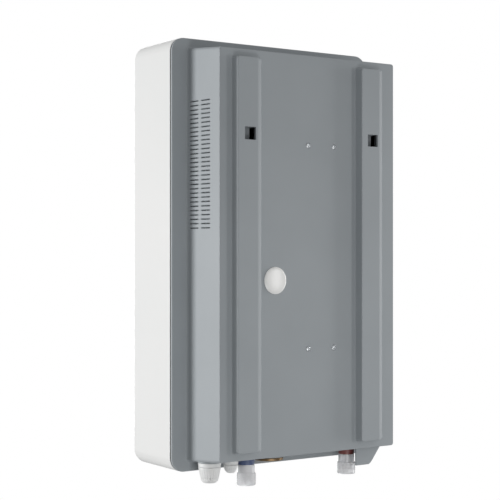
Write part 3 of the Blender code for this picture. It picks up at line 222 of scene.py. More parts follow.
# the colour drifts between tint and shade; drift and grain are in mm, depth is the grain's relief in metres
plastics = asTable(("tint", "shade", "drift", "rough", "grain", "depth", "ior"), {
    # spark-eroded grey ABS: an even fine grain that scatters the light, with almost no gloss
    "sparkErodedAbs": ("#a3a9ad", "#9ea4a8", 90.0, (0.46, 0.56), 0.9, 0.00006, 1.52),
    # satin white ABS of the cover: smooth, with a faint orange peel from the mould
    "satinWhiteAbs": ("#f3f3f2", "#f0f1f0", 120.0, (0.28, 0.36), 3.5, 0.00003, 1.52),
    # white acetal of the plug and the turbine: dense, smooth and bright, with a clean gloss
    "whiteAcetal": ("#fbfbf9", "#f8f8f6", 14.0, (0.16, 0.24), 1.2, 0.00002, 1.48),
    # light grey nylon of the glands, pale enough to look white: matt where it was gripped, a little mottled
    "lightGreyNylon": ("#f8f8f7", "#f0f1f1", 9.0, (0.42, 0.55), 0.8, 0.00003, 1.53),
    # black nitrile rubber of the seals: matt, with a bloom that greys it in patches
    "nitrileRubber": ("#26272a", "#1b1c1e", 6.0, (0.70, 0.85), 0.7, 0.00004, 1.52),
    # grey soft-touch key caps: even and dull
    "greyKeyCap": ("#a5a8ab", "#9c9fa2", 7.0, (0.45, 0.55), 0.6, 0.00002, 1.50),
    # black glass-filled nylon of the heater tank: fibres near the skin leave pale patches
    "glassFilledNylon": ("#34363a", "#26282b", 5.0, (0.48, 0.66), 1.0, 0.00008, 1.55),
    # black phenolic of the cut-out and the semiconductors: hard, dull and speckled
    "blackPhenolic": ("#26262a", "#1a1a1d", 3.0, (0.42, 0.60), 0.5, 0.00004, 1.60),
    # red acetal of the reset button: smooth, with a soft gloss
    "redAcetal": ("#b3251d", "#9d1d17", 3.0, (0.30, 0.42), 0.6, 0.00002, 1.48),
    # blue polyester case of the safety relay: smooth and slightly uneven
    "bluePolyester": ("#3f66a6", "#385c97", 9.0, (0.35, 0.46), 0.9, 0.00002, 1.57),
    # cream melamine-like nylon of the terminal block, yellowed a little
    "creamNylon": ("#dcd6c2", "#d2cab1", 12.0, (0.45, 0.58), 0.9, 0.00003, 1.53),
    # blue and red polypropylene of the marker rings: dyed through and slightly waxy
    "bluePolypropylene": ("#5d6c8e", "#4c5a80", 4.0, (0.34, 0.46), 0.8, 0.00002, 1.49),
    "redPolypropylene": ("#8f544f", "#7d4441", 4.0, (0.34, 0.46), 0.8, 0.00002, 1.49),
    # white ink of the key signs: thin, with a dull, slightly broken surface
    "printedInk": ("#f4f5f5", "#e6e7e8", 0.8, (0.50, 0.62), 0.3, 0.00001, 1.50),
    # low-density polyethylene of the transit caps: milky and soft, it lets the plated tail shimmer through
    "softPolyethylene": ("#fdfdfe", "#f6f7fa", 9.0, (0.14, 0.24), 1.6, 0.00001, 1.30),
    # cast acrylic of the window, smoked nearly black, with a hard gloss and the odd wipe mark
    "smokedAcrylic": ("#17181b", "#0f1012", 22.0, (0.05, 0.12), 9.0, 0.000004, 1.49),
})

# the share of light that goes through; the other plastics let none through
letThrough = {"softPolyethylene": 0.46}

metals = asTable(("tint", "shade", "drift", "rough", "grain", "stretch", "depth"), {
    # zinc-plated steel of the screws: bluish, with a fine crystalline bloom
    "zincPlatedSteel": ("#e6e9eb", "#d0d5d9", 1.6, (0.28, 0.40), 0.3, (1.0, 1.0, 1.0), 0.00001),
    # stainless steel of the strainer and the elements: drawn lines along the rod
    "drawnStainless": ("#c9c7c4", "#aeacaa", 5.0, (0.20, 0.34), 0.4, (1.0, 1.0, 0.04), 0.00001),
    # drawn copper tube: lines along the tube, browned unevenly by handling
    "drawnCopper": ("#c98364", "#a9614a", 16.0, (0.22, 0.42), 0.5, (1.0, 1.0, 0.03), 0.00001),
    # copper tails under a thin nickel plate: bright, a little warm, drawn lines still showing
    "nickelPlatedCopper": ("#dcdad6", "#c9c4bd", 10.0, (0.16, 0.28), 0.5, (1.0, 1.0, 0.03), 0.00001),
    # machined brass: rings from the lathe tool round the axis
    "machinedBrass": ("#8f785c", "#6e5a42", 8.0, (0.30, 0.46), 0.35, (0.03, 0.03, 1.0), 0.00001),
    # extruded aluminium of the heat sink: dull lines along the extrusion
    "extrudedAluminium": ("#cfd1d3", "#b7babd", 12.0, (0.32, 0.48), 0.4, (1.0, 1.0, 0.02), 0.00002),
})

# noise between low and high gives the full range of colour and gloss
surface = {"low": 0.3, "high": 0.7, "driftDetail": 3.0, "grainDetail": 2.0, "relief": 0.6}


def blendedColour(tree, factor, shade, tint):
    mixed = addNode(tree, "ShaderNodeMix", {"data_type": "RGBA", 6: linear(shade), 7: linear(tint)},
                    {0: factor})
    return mixed.outputs[2]


def dressShader(tree, shader, colour, gloss, rough, height, relief, depth):
    low, high = rough
    dull = addNode(tree, "ShaderNodeMapRange", {**gloss, "To Min": low, "To Max": high}, {"Value": height})
    bump = addNode(tree, "ShaderNodeBump", {"Strength": relief, "Distance": depth}, {"Height": height})
    for key, source in (("Base Color", colour), ("Roughness", dull.outputs[0]), ("Normal", bump.outputs[0])):
        tree.links.new(source, shader.inputs[key])


def dressSurface(tree, shader, place, spec, grainPlace):
    # broad drift of colour, patches of gloss, and the grain as relief
    noise = {"From Min": surface["low"], "From Max": surface["high"]}
    fields = []
    for pattern, where in (("drift", place), ("grain", grainPlace)):
        settings = {"Scale": perMm(spec[pattern]), "Detail": surface[pattern + "Detail"]}
        fields.append(addNode(tree, "ShaderNodeTexNoise", settings, {"Vector": where}))
    drift, grain = fields
    even = addNode(tree, "ShaderNodeMapRange", noise, {"Value": drift})
    colour = blendedColour(tree, even, spec["shade"], spec["tint"])
    dressShader(tree, shader, colour, noise, spec["rough"], grain, surface["relief"], spec["depth"])


def mouldedPlastic(name):
    spec = plastics[name]
    constants = {"IOR": spec["ior"], "Transmission Weight": letThrough.get(name, 0.0)}
    made, tree, shader, place = newFinish(name, constants)
    dressSurface(tree, shader, place, spec, place)
    return made


def workedMetal(name):
    spec = metals[name]
    made, tree, shader, place = newFinish(name, {"Metallic": 1.0})
    lines = addNode(tree, "ShaderNodeMapping", {"Scale": spec["stretch"]}, {"Vector": place})
    dressSurface(tree, shader, place, spec, lines)
    return made


# glass-epoxy board under green solder mask: darker over bare epoxy, lighter over the copper tracks
maskedBoard = {"mask": "#1d5c37", "track": "#2d7a49", "pad": "#c9ccce", "pitch": 5.0, "padPitch": 2.54,
               "trackEdge": (0.42, 0.46), "padEdge": (0.17, 0.14), "padStray": 0.35,
               "rough": (0.28, 0.45), "relief": 0.5, "depth": 0.00003, "ior": 1.55}


def solderMask(name):
    spec = maskedBoard
    made, tree, shader, place = newFinish(name, {"IOR": spec["ior"]})
    masks = []
    for pattern, edge in (
            ({"distance": "MANHATTAN", "feature": "F1", "Scale": perMm(spec["pitch"])}, spec["trackEdge"]),
            ({"Scale": perMm(spec["padPitch"]), "Randomness": spec["padStray"]}, spec["padEdge"])):
        cells = addNode(tree, "ShaderNodeTexVoronoi", pattern, {"Vector": place})
        masks.append(addNode(tree, "ShaderNodeMapRange", {"From Min": edge[0], "From Max": edge[1]},
                             {"Value": cells}))
    tracks, pads = masks
    colour = blendedColour(tree, tracks, spec["mask"], spec["track"])
    dotted = addNode(tree, "ShaderNodeMix", {"data_type": "RGBA", 7: linear(spec["pad"])},
                     {0: pads, 6: colour})
    dressShader(tree, shader, dotted.outputs[2], {}, spec["rough"], tracks, spec["relief"], spec["depth"])
    return made


finishes = {name: mouldedPlastic(name) for name in plastics}
finishes.update({name: workedMetal(name) for name in metals})
finishes["solderMask"] = solderMask("solderMask")
print("stage:", len(finishes), "finishes")


# Shaping helpers

cornerLimit = 0.49      # a rounding takes at most this share of a side
mergeDistance = 1e-7
creaseAngle = math.radians(30.0)    # edges sharper than this stay sharp


def eased(points, radii, steps=4, closed=False, measured=None):
    # rounds the corners of a path of points; measured picks the coordinates that give its length
    points = [np.array(p, float) for p in points]
    measured = measured or list(range(len(points[0])))
    last = len(points) - 1
    made = []
    for i, here in enumerate(points):
        radius = radii[i] if hasattr(radii, "__len__") else radii
        if radius <= 0 or (not closed and i in (0, last)):
            made.append(here)
            continue
        before = points[i - 1] - here
        after = points[(i + 1) % (last + 1)] - here
        start = here + before * min(radius / np.linalg.norm(before[measured]), cornerLimit)
        end = here + after * min(radius / np.linalg.norm(after[measured]), cornerLimit)
        for step in range(steps + 1):
            t = step / steps
            a, b, c = (1 - t) ** 2, 2 * t * (1 - t) * math.sqrt(0.5), t ** 2
            made.append((a * start + b * here + c * end) / (a + b + c))
    return made


def skin(rings, closed=False):
    # joins rings of equal count; the ends are capped unless the loop closes
    body = bmesh.new()
    made = [[body.verts.new(p) for p in ring] for ring in rings]
    pairs = list(zip(made, made[1:]))
    if closed:
        pairs.append((made[-1], made[0]))
    else:
        body.faces.new(made[0])
        body.faces.new(made[-1])
    for low, high in pairs:
        for i in range(len(low)):
            j = (i + 1) % len(low)
            body.faces.new((low[i], low[j], high[j], high[i]))
    return body


def block(low, high):
    (x0, y0, z0), (x1, y1, z1) = low, high
    base = [Vector((x0, y0, z0)), Vector((x1, y0, z0)), Vector((x1, y1, z0)), Vector((x0, y1, z0))]
    return skin([base, [Vector((p.x, p.y, z1)) for p in base]])


def roundRect(halfWide, halfTall, corner, steps):
    square = [(halfWide, halfTall), (-halfWide, halfTall), (-halfWide, -halfTall), (halfWide, -halfTall)]
    return eased(square, corner, steps, closed=True)


def rectLoft(sections, radii, steps=5, cornerSteps=8, x=0.0, z=0.0, closed=False):
    # sections: reach towards +X, reach towards -X, half height, Y, corner radius
    rings = []
    for plus, minus, half, y, corner in eased(sections, radii, steps, closed, measured=[2, 3]):
        outline = roundRect((plus + minus) / 2, half, corner, cornerSteps)
        rings.append([Vector((x + (plus - minus) / 2 + a, y, z + b)) for a, b in outline])
    return skin(rings, closed)


def insetLoft(wide, tall, rows, radii, **more):
    # rows: inset from the half width and half height, Y, corner radius
    sections = [(wide - inset, wide - inset, tall - inset, y, corner) for inset, y, corner in rows]
    return rectLoft(sections, radii, **more)


def spun(profile, centre, axis="Z", sides=72, closed=True):
    # revolves (radius, height) points round an axis through centre; a radius of zero closes at a pole
    x, y, z = centre
    rings = []
    for radius, height in profile:
        ring = []
        for i in range(sides):
            a = radius * math.cos(2 * math.pi * i / sides)
            b = radius * math.sin(2 * math.pi * i / sides)
            ring.append(Vector((x + a, y + b, height) if axis == "Z" else (x + a, height, z - b)))
        rings.append(ring)
    body = skin(rings, closed)
    bmesh.ops.remove_doubles(body, verts=body.verts, dist=mergeDistance)
    return body


def rod(steps, centre, axis="Z", sides=48, radii=0):
    # a solid turned out of steps, each given by its radius, start and end
    profile = [(0, steps[0][1])]
    for radius, start, end in steps:
        profile += [(radius, start), (radius, end)]
    profile.append((0, steps[-1][2]))
    return spun(eased(profile, radii), centre, axis, sides, closed=False)


def smoothShading(mesh):
    mesh.shade_smooth()
    mesh.set_sharp_from_angle(angle=creaseAngle)


def makePiece(name, body, finish):
    bmesh.ops.recalc_face_normals(body, faces=body.faces)
    mesh = bpy.data.meshes.new(name)
    body.to_mesh(mesh)
    body.free()
    mesh.materials.append(finishes[finish])
    smoothShading(mesh)
    return addObject(name, mesh)


def turnedPiece(name, finish, profile, radii, centre, axis="Z", sides=72, closed=True):
    return makePiece(name, spun(eased(profile, radii, closed=closed), centre, axis, sides, closed), finish)


def settle(piece):
    # turns what the modifiers give into the piece's own mesh
    view = bpy.context.evaluated_depsgraph_get()
    result = bpy.data.meshes.new_from_object(piece.evaluated_get(view))
    piece.modifiers.clear()
    piece.data = result


def combine(piece, tool, operation):
    modifier = piece.modifiers.new(operation, "BOOLEAN")
    modifier.operation = operation
    modifier.solver = "EXACT"
    modifier.object = tool
    settle(piece)
    bpy.data.objects.remove(tool, do_unlink=True)


def merged(bodies):
    # one mesh out of all bodies
    whole = bmesh.new()
    for body in bodies:
        mesh = bpy.data.meshes.new("part")
        body.to_mesh(mesh)
        body.free()
        whole.from_mesh(mesh)
        bpy.data.meshes.remove(mesh)
    return whole


def toolFor(piece, bodies):
    return makePiece("tool", merged(bodies), piece.data.materials[0].name)


def join(piece, *bodies):
    combine(piece, toolFor(piece, bodies), "UNION")


def cut(piece, *bodies):
    combine(piece, toolFor(piece, bodies), "DIFFERENCE")


def evenShading(piece):
    # flat faces stay flat beside their rounded edges
    smoothShading(piece.data)
    modifier = piece.modifiers.new("even", "WEIGHTED_NORMAL")
    modifier.keep_sharp = True
    modifier.weight = 100
    settle(piece)
    return piece


def seat(piece, body, slot, *stoodFor):
    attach(piece, body)
    if stoodFor:
        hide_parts(*stoodFor)


def boxOf(name):
    low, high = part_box(name)
    return low, high, (low + high) / 2


def centreOf(name):
    return boxOf(name)[2]


def halfWidth(name):
    low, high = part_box(name)
    return (high.x - low.x) / 2


# Geometry Nodes that repeat a shape

def newTree(name, inputs):
    tree = bpy.data.node_groups.new(name, "GeometryNodeTree")
    tree.interface.new_socket("Geometry", in_out="OUTPUT", socket_type="NodeSocketGeometry")
    for label, kind in inputs.items():
        tree.interface.new_socket(label, in_out="INPUT", socket_type="NodeSocket" + kind)
    return tree, addNode(tree, "NodeGroupInput").outputs


def closeTree(tree, given, geometry):
    real = addNode(tree, "GeometryNodeRealizeInstances", links={"Geometry": geometry})
    painted = addNode(tree, "GeometryNodeSetMaterial", links={"Geometry": real, "Material": given["Finish"]})
    addNode(tree, "NodeGroupOutput", links={0: painted})
    return tree


latticeInputs = {"Place": "Vector", "Columns": "Int", "Column Step": "Vector", "Rows": "Int",
                 "Row Step": "Vector", "Finish": "Material"}


def onLattice(tree, given, shape):
    columns = addNode(tree, "GeometryNodeMeshLine", {"mode": "OFFSET"},
                      {"Count": given["Columns"], "Offset": given["Column Step"]})
    row = addNode(tree, "GeometryNodeInstanceOnPoints", links={"Points": columns, "Instance": shape})
    rows = addNode(tree, "GeometryNodeMeshLine", {"mode": "OFFSET"},
                   {"Count": given["Rows"], "Start Location": given["Place"], "Offset": given["Row Step"]})
    field = addNode(tree, "GeometryNodeInstanceOnPoints", links={"Points": rows, "Instance": row})
    return closeTree(tree, given, field)


def fastenerTree():
    tree, given = newTree("fasteners", {"Fastener": "Object", **latticeInputs})
    info = addNode(tree, "GeometryNodeObjectInfo", {"As Instance": True}, {"Object": given["Fastener"]})
    return onLattice(tree, given, info.outputs["Geometry"])


def slotTree():
    # a slot with round ends and a flared mouth: its outline is filled, drawn out twice and spread at the end
    sizes = {label: "Float" for label in ("Length", "Width", "Depth", "Mouth", "Flare", "Slant")}
    tree, given = newTree("ventSlots", {**sizes, **latticeInputs})
    outline = addNode(tree, "GeometryNodeCurvePrimitiveQuadrilateral",
                      links={"Width": given["Width"], "Height": given["Length"]})
    # just under half the width, so that the two roundings of an end don't meet in one point
    radius = addNode(tree, "ShaderNodeMath", {"operation": "MULTIPLY", 1: 0.499}, {0: given["Width"]})
    ends = addNode(tree, "GeometryNodeFilletCurve", {"mode": "POLY", "Count": 3, "Limit Radius": True},
                   {"Curve": outline, "Radius": radius})
    face = addNode(tree, "GeometryNodeFillCurve", {"mode": "NGONS"}, {"Curve": ends})
    straight = addNode(tree, "ShaderNodeMath", {"operation": "SUBTRACT"},
                       {0: given["Depth"], 1: given["Mouth"]})
    drawing = {"Mesh": face}
    for reach in (straight, given["Mouth"]):
        drawing["Offset"] = addNode(tree, "ShaderNodeCombineXYZ", links={"Z": reach})
        longer = addNode(tree, "GeometryNodeExtrudeMesh", {"mode": "FACES", "Individual": False}, drawing)
        drawing = {"Mesh": longer.outputs["Mesh"], "Selection": longer.outputs["Top"]}
    # the mouth spreads away from the slot's middle line, which ends half a width short of either end
    place = addNode(tree, "GeometryNodeInputPosition")
    split = addNode(tree, "ShaderNodeSeparateXYZ", links={0: place}).outputs
    shorter = addNode(tree, "ShaderNodeMath", {"operation": "MULTIPLY", 1: -0.5}, {0: given["Width"]})
    half = addNode(tree, "ShaderNodeMath", {"operation": "MULTIPLY_ADD", 1: 0.5},
                   {0: given["Length"], 2: shorter})
    back = addNode(tree, "ShaderNodeMath", {"operation": "MULTIPLY", 1: -1.0}, {0: half})
    spine = addNode(tree, "ShaderNodeClamp", links={"Value": split[1], "Min": back, "Max": half})
    past = addNode(tree, "ShaderNodeMath", {"operation": "SUBTRACT"}, {0: split[1], 1: spine})
    away = addNode(tree, "ShaderNodeCombineXYZ", links={"X": split[0], "Y": past})
    unit = addNode(tree, "ShaderNodeVectorMath", {"operation": "NORMALIZE"}, {0: away})
    spread = addNode(tree, "ShaderNodeVectorMath", {"operation": "SCALE"}, {0: unit, "Scale": given["Flare"]})
    flared = addNode(tree, "GeometryNodeSetPosition", links={
        "Geometry": drawing["Mesh"], "Selection": drawing["Selection"], "Offset": spread})
    whole = addNode(tree, "GeometryNodeJoinGeometry")
    floor = addNode(tree, "GeometryNodeFlipFaces", links={"Mesh": face})
    for part in (floor, flared):
        tree.links.new(part.outputs[0], whole.inputs[0])
    turn = addNode(tree, "ShaderNodeCombineXYZ", {"Y": math.pi / 2}, {"Z": given["Slant"]})
    turned = addNode(tree, "GeometryNodeTransform", links={"Geometry": whole, "Rotation": turn})
    return onLattice(tree, given, turned)


def ribTree():
    # round ribs along a cone, spaced evenly about an upright axis
    tree, given = newTree("coneRibs", {"Place": "Vector", "Count": "Int", "Start": "Vector", "End": "Vector",
                                       "Thickness": "Float", "Finish": "Material"})
    line = addNode(tree, "GeometryNodeCurvePrimitiveLine",
                   links={"Start": given["Start"], "End": given["End"]})
    bar = addNode(tree, "GeometryNodeCurvePrimitiveCircle", {"Resolution": 12},
                  {"Radius": given["Thickness"]})
    rib = addNode(tree, "GeometryNodeCurveToMesh", {"Fill Caps": True}, {"Curve": line, "Profile Curve": bar})
    points = addNode(tree, "GeometryNodePoints", links={"Count": given["Count"], "Position": given["Place"]})
    index = addNode(tree, "GeometryNodeInputIndex")
    share = addNode(tree, "ShaderNodeMath", {"operation": "DIVIDE"}, {0: index, 1: given["Count"]})
    angle = addNode(tree, "ShaderNodeMath", {"operation": "MULTIPLY", 1: 2 * math.pi}, {0: share})
    turn = addNode(tree, "ShaderNodeCombineXYZ", links={"Z": angle})
    ribs = addNode(tree, "GeometryNodeInstanceOnPoints",
                   links={"Points": points, "Instance": rib, "Rotation": turn})
    return closeTree(tree, given, ribs)


def hoopTree():
    # thin hoops stacked along an upright axis
    tree, given = newTree("stackedHoops", {"Radius": "Float", "Thickness": "Float", **latticeInputs})
    circle, wire = [
        addNode(tree, "GeometryNodeCurvePrimitiveCircle", {"Resolution": sides}, {"Radius": given[size]})
        for sides, size in ((72, "Radius"), (8, "Thickness"))]
    hoop = addNode(tree, "GeometryNodeCurveToMesh", links={"Curve": circle, "Profile Curve": wire})
    return onLattice(tree, given, hoop)


def grown(name, tree, values):
    # evaluates a tree once and keeps the result as a plain mesh
    made = addObject(name, bpy.data.meshes.new(name))
    modifier = made.modifiers.new("grow", "NODES")
    modifier.node_group = tree
    for item in tree.interface.items_tree:
        if item.in_out == "INPUT":
            modifier[item.identifier] = values[item.name]
    settle(made)
    body = bmesh.new()
    body.from_mesh(made.data)
    bmesh.ops.remove_doubles(body, verts=body.verts, dist=mergeDistance)
    bmesh.ops.recalc_face_normals(body, faces=body.faces)
    body.to_mesh(made.data)
    body.free()
    smoothShading(made.data)
    return made


trees = {"fasteners": fastenerTree(), "slots": slotTree(), "ribs": ribTree(), "hoops": hoopTree()}
print("stage:", len(trees), "node trees")


# Rear housing: one grey moulding with rails, vents, screw seats, flat seats below and the lug

rearHousing = {
    "panelWidth": 0.258, "panelHeight": 0.466, "panelShift": -0.004, "panelCorner": 0.003,
    "depth": 0.062, "wall": 0.0025, "sideDraft": 0.003, "endDraft": 0.005, "backEdge": 0.0009,
    "rootFillet": 0.0043, "flangeCorner": 0.016, "flange": 0.003, "flangeEdge": 0.0005,
    "lipInset": 0.0028, "lipThickness": 0.002, "lipDepth": 0.010, "lipEdge": 0.0003,
    "railHeight": 0.011, "railSpacing": 0.181, "railWidth": 0.034, "railLength": 0.446, "railDraft": 0.0012,
    "railFoot": 0.0018, "railEdge": 0.0009, "railBevel": 0.0060, "railBevelDrop": 0.0023,
    "railCells": 9, "railRib": 0.002,
    "hookWidth": 0.0155, "hookTall": 0.0145, "hookHeight": 0.137, "hookCorner": 0.0006, "hookFloorShare": 0.8,
    "ventRows": 30, "ventPitch": 0.005, "ventLow": 0.0305, "ventLength": 0.0175, "ventWidth": 0.0022,
    "ventThroat": 0.0009, "ventFlare": 0.00065, "ventSetback": 0.018, "ventGap": 0.0045,
    "plugHole": 0.013, "screwHead": 0.0032, "screwShank": 0.0017, "screwSink": 0.0016,
    "padHigh": -0.2325, "padLow": -0.238, "padEdge": 0.0004, "padMargin": 0.0012,
    "bossRadius": 0.0035, "bossInset": 0.006, "overrun": 0.002, "gap": 0.0003,
}

# what passes through the floor: the hole's radius, and the node as wide as its seat
floorFittings = {
    "mains_gland_body": (0.0103, "mains_gland_body"), "control_gland_body": (0.0065, "control_gland_body"),
    "inlet_pipe": (0.0078, "inlet_collar"), "outlet_collar": (0.0078, "outlet_collar"),
    "filter_plug": (0.0123, "filter_plug"),
}

lug = {
    "setback": 0.018, "thickness": 0.014, "flatEdge": 0.002, "slant": 0.0105, "inset": 0.0443,
    "lowWidth": 0.0225, "topWidth": 0.0408, "drop": 0.0222, "corner": 0.003, "rounding": 0.0009,
    "margin": 0.0001,
}

# Y of the panel's back, of the rim, of the flange's front, and of the panel's inner face
backY = -rearHousing["railHeight"]
rimY = backY - rearHousing["depth"]
flangeY = rimY - rearHousing["flange"]
innerY = backY - rearHousing["wall"]
railPlaces = (-rearHousing["railSpacing"] / 2, rearHousing["railSpacing"] / 2)


def housingSkin(spec):
    # the flange is as wide and tall as the cover
    low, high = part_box("front_cover")
    plus = spec["panelWidth"] / 2 + spec["panelShift"]
    minus = spec["panelWidth"] / 2 - spec["panelShift"]
    half = spec["panelHeight"] / 2
    side, end = spec["sideDraft"], spec["endDraft"]
    corner, inset, foot, wall = spec["panelCorner"], spec["overrun"], spec["rootFillet"], spec["wall"]

    def shell(share, shrink, y, corner):
        out = side * share
        return (plus + out - shrink, minus + out - shrink, half + end * share - shrink, y, corner)

    def flange(shrink, y):
        return [reach - shrink for reach in (high.x, -low.x, high.z)] + [y, spec["flangeCorner"] - shrink]

    lipOut, lipY = spec["lipInset"], flangeY - spec["lipDepth"]
    lipIn = lipOut + spec["lipThickness"]
    sections = [
        shell(0, inset, backY, corner - inset / 2), shell(0, 0, backY, corner),
        shell(1, 0, rimY, corner), shell(1, -foot, rimY, corner + foot),
        flange(0, rimY), flange(0, flangeY),
        flange(lipOut, flangeY), flange(lipOut, lipY), flange(lipIn, lipY), flange(lipIn, flangeY),
        shell((backY - flangeY) / spec["depth"], wall, flangeY, corner),
        shell(wall / spec["depth"], wall, innerY, corner),
    ]
    edge, lip = spec["flangeEdge"], spec["lipEdge"]
    return rectLoft(sections, [0, spec["backEdge"], foot, 0, edge, edge, 0, lip, lip, 0, 0, 0])


def addRails(housing, spec):
    wide, half = spec["railWidth"] / 2, spec["railLength"] / 2
    foot = spec["railDraft"] + spec["railFoot"]
    edge, drop, bevel = spec["railEdge"], spec["railBevelDrop"], spec["railBevel"]
    inset = edge * 3        # room for the rounding of the face's edge
    shoulder = spec["railDraft"] * drop / spec["railHeight"]

    def section(flare, y, cut=0.0):
        # cut bevels the far edge
        return (wide + flare, wide + flare - cut, half + flare, y, spec["panelCorner"] + flare)

    sections = [section(foot, backY - spec["wall"] / 2), section(foot, backY),
                section(spec["railDraft"], backY), section(shoulder, -drop),
                section(0.0, 0.0, bevel), section(-inset, 0.0, bevel)]
    for x in railPlaces:
        join(housing, rectLoft(sections, [0, 0, spec["railFoot"], edge, edge, 0], cornerSteps=4, x=x))


def cutRailCells(housing, spec):
    # ribbed cells behind each rail; the one behind the hook hole keeps a floor
    half = spec["railWidth"] / 2 - spec["wall"]
    clear = spec["railLength"] - 2 * spec["wall"]
    cell = (clear - spec["railRib"] * (spec["railCells"] - 1)) / spec["railCells"]
    cells = []
    for x in railPlaces:
        for i in range(spec["railCells"]):
            low = -clear / 2 + i * (cell + spec["railRib"])
            hooked = low < spec["hookHeight"] < low + cell
            root = backY if hooked else innerY - spec["overrun"]
            cells.append(block((x - half, root, low), (x + half, -spec["wall"], low + cell)))
    cut(housing, *cells)


def floorAt(y):
    spec = rearHousing
    return -spec["panelHeight"] / 2 - spec["endDraft"] * (backY - y) / spec["depth"]


def lugBody(spec):
    back = backY - spec["setback"]
    low = floorAt(back) - spec["drop"]
    top = floorAt(back) + rearHousing["wall"] / 2
    right = rearHousing["panelShift"] - rearHousing["panelWidth"] / 2 + spec["inset"]
    slope = (spec["topWidth"] - spec["lowWidth"]) / (top - low)
    corner = spec["corner"]
    points = [(right, low), (right, top), (right - spec["topWidth"], top),
              (right - spec["lowWidth"] - slope * corner, low + corner),
              (right - spec["lowWidth"] + corner / 2, low)]
    rings = []
    for y, limit in ((back, right), (back - spec["flatEdge"], right),
                     (back - spec["thickness"], right - spec["slant"])):
        rings.append([Vector((min(x, limit), y, z)) for x, z in points])
    body = skin(rings)
    # every edge but those inside the floor is rounded
    edges = [e for e in body.edges if any(v.co.z < top - spec["margin"] for v in e.verts)]
    bmesh.ops.recalc_face_normals(body, faces=body.faces)
    bmesh.ops.bevel(body, geom=edges, offset=spec["rounding"], segments=3, affect="EDGES", profile=0.5,
                    clamp_overlap=True)
    return body


def fittingPlaces():
    # centre, hole radius and seat radius of each fitting under the floor
    for node, (hole, face) in floorFittings.items():
        yield centreOf(node), hole, halfWidth(face) + rearHousing["padMargin"]


def addFloorSeats(housing, spec):
    low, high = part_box("inlet_block")
    gap, margin = spec["gap"], spec["padMargin"]
    for place, hole, pad in fittingPlaces():
        top = spec["padHigh"] - (gap if low.x < place.x < high.x else 0.0)
        join(housing, rod([(pad, top, spec["padLow"])], place, radii=[0, 0, spec["padEdge"], 0]))
    join(housing, block((low.x - margin, low.y - margin, floorAt(rimY) + gap),
                        (high.x + margin, high.y + margin, spec["padHigh"] - gap / 2)))
    join(housing, lugBody(lug))


def addBoardBosses(housing, spec):
    low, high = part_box("power_board")
    inset = spec["bossInset"]
    step = (spec["bossRadius"], innerY + spec["wall"] / 2, high.y + spec["gap"])
    join(housing, *[rod([step], (x, 0.0, z), "Y", sides=24)
                    for x in (low.x + inset, high.x - inset) for z in (low.z + inset, high.z - inset)])


def cutHoles(housing, spec):
    over, wall, corner = spec["overrun"], spec["wall"], spec["hookCorner"]
    half, tall, height = spec["hookWidth"] / 2, spec["hookTall"] / 2, spec["hookHeight"]
    holes = []
    for x in railPlaces:
        rows = [(0, -wall - over, corner), (0, over, corner)]
        holes.append(insetLoft(half, tall, rows, 0, cornerSteps=3, x=x, z=height))
        low = x - spec["railWidth"] / 2 + wall + spec["gap"]
        holes.append(block((low, innerY - over, height - tall),
                           (x - half * spec["hookFloorShare"], backY + over / 2, height + tall)))
    sink = backY - spec["screwSink"]
    steps = [(spec["screwShank"], innerY - over, sink), (spec["screwHead"], sink, backY + over)]
    for i in range(1, 5):
        holes.append(rod(steps, centreOf(f"tank_screw_{i}"), "Y", sides=32))
    holes.append(rod([(spec["plugHole"], innerY - over, backY + over)], centreOf("blanking_plug"), "Y"))
    for place, hole, pad in fittingPlaces():
        holes.append(rod([(hole, spec["padLow"] - over, spec["padHigh"] + over)], place))
    cut(housing, *holes, ventBody(spec))


def ventBody(spec):
    # the slots stand square to the drafted wall, narrow inside and flared at the surface
    slope = spec["sideDraft"] / spec["depth"]
    near = backY - spec["ventSetback"] - spec["ventLength"] / 2
    face = spec["panelWidth"] / 2 + spec["panelShift"] + slope * (backY - near)
    inside = spec["wall"] + spec["overrun"]
    outside = spec["overrun"] / 2
    flare = spec["ventFlare"]
    step = spec["ventLength"] + spec["ventGap"]
    cutter = grown("ventCutter", trees["slots"], {
        "Length": spec["ventLength"] - spec["ventWidth"] + spec["ventThroat"], "Width": spec["ventThroat"],
        "Depth": inside + outside, "Mouth": flare + outside, "Flare": flare + outside,
        "Slant": math.atan(slope),
        "Place": (face - inside, near - inside * slope, spec["ventLow"]),
        "Columns": 2, "Column Step": (step * slope, -step, 0.0),
        "Rows": spec["ventRows"], "Row Step": (0.0, 0.0, spec["ventPitch"]),
        "Finish": finishes["sparkErodedAbs"],
    })
    body = bmesh.new()
    body.from_mesh(cutter.data)
    bpy.data.objects.remove(cutter, do_unlink=True)
    return body


def makeRearHousing(spec):
    housing = makePiece("rearHousing", housingSkin(spec), "sparkErodedAbs")
    for work in (addRails, cutRailCells, addFloorSeats, addBoardBosses, cutHoles):
        work(housing, spec)
    seat(evenShading(housing), "housing", "housing_grey", "rear_housing")


makeRearHousing(rearHousing)
print("stage: rear housing")


# Front cover, its seal, window and keys

frontCover = {"corner": 0.016, "frontEdge": 0.012, "draft": 0.0015, "wall": 0.0025, "rearEdge": 0.0004,
              "flatInset": 0.040, "flatCorner": 0.010, "gap": 0.0003, "overrun": 0.002}


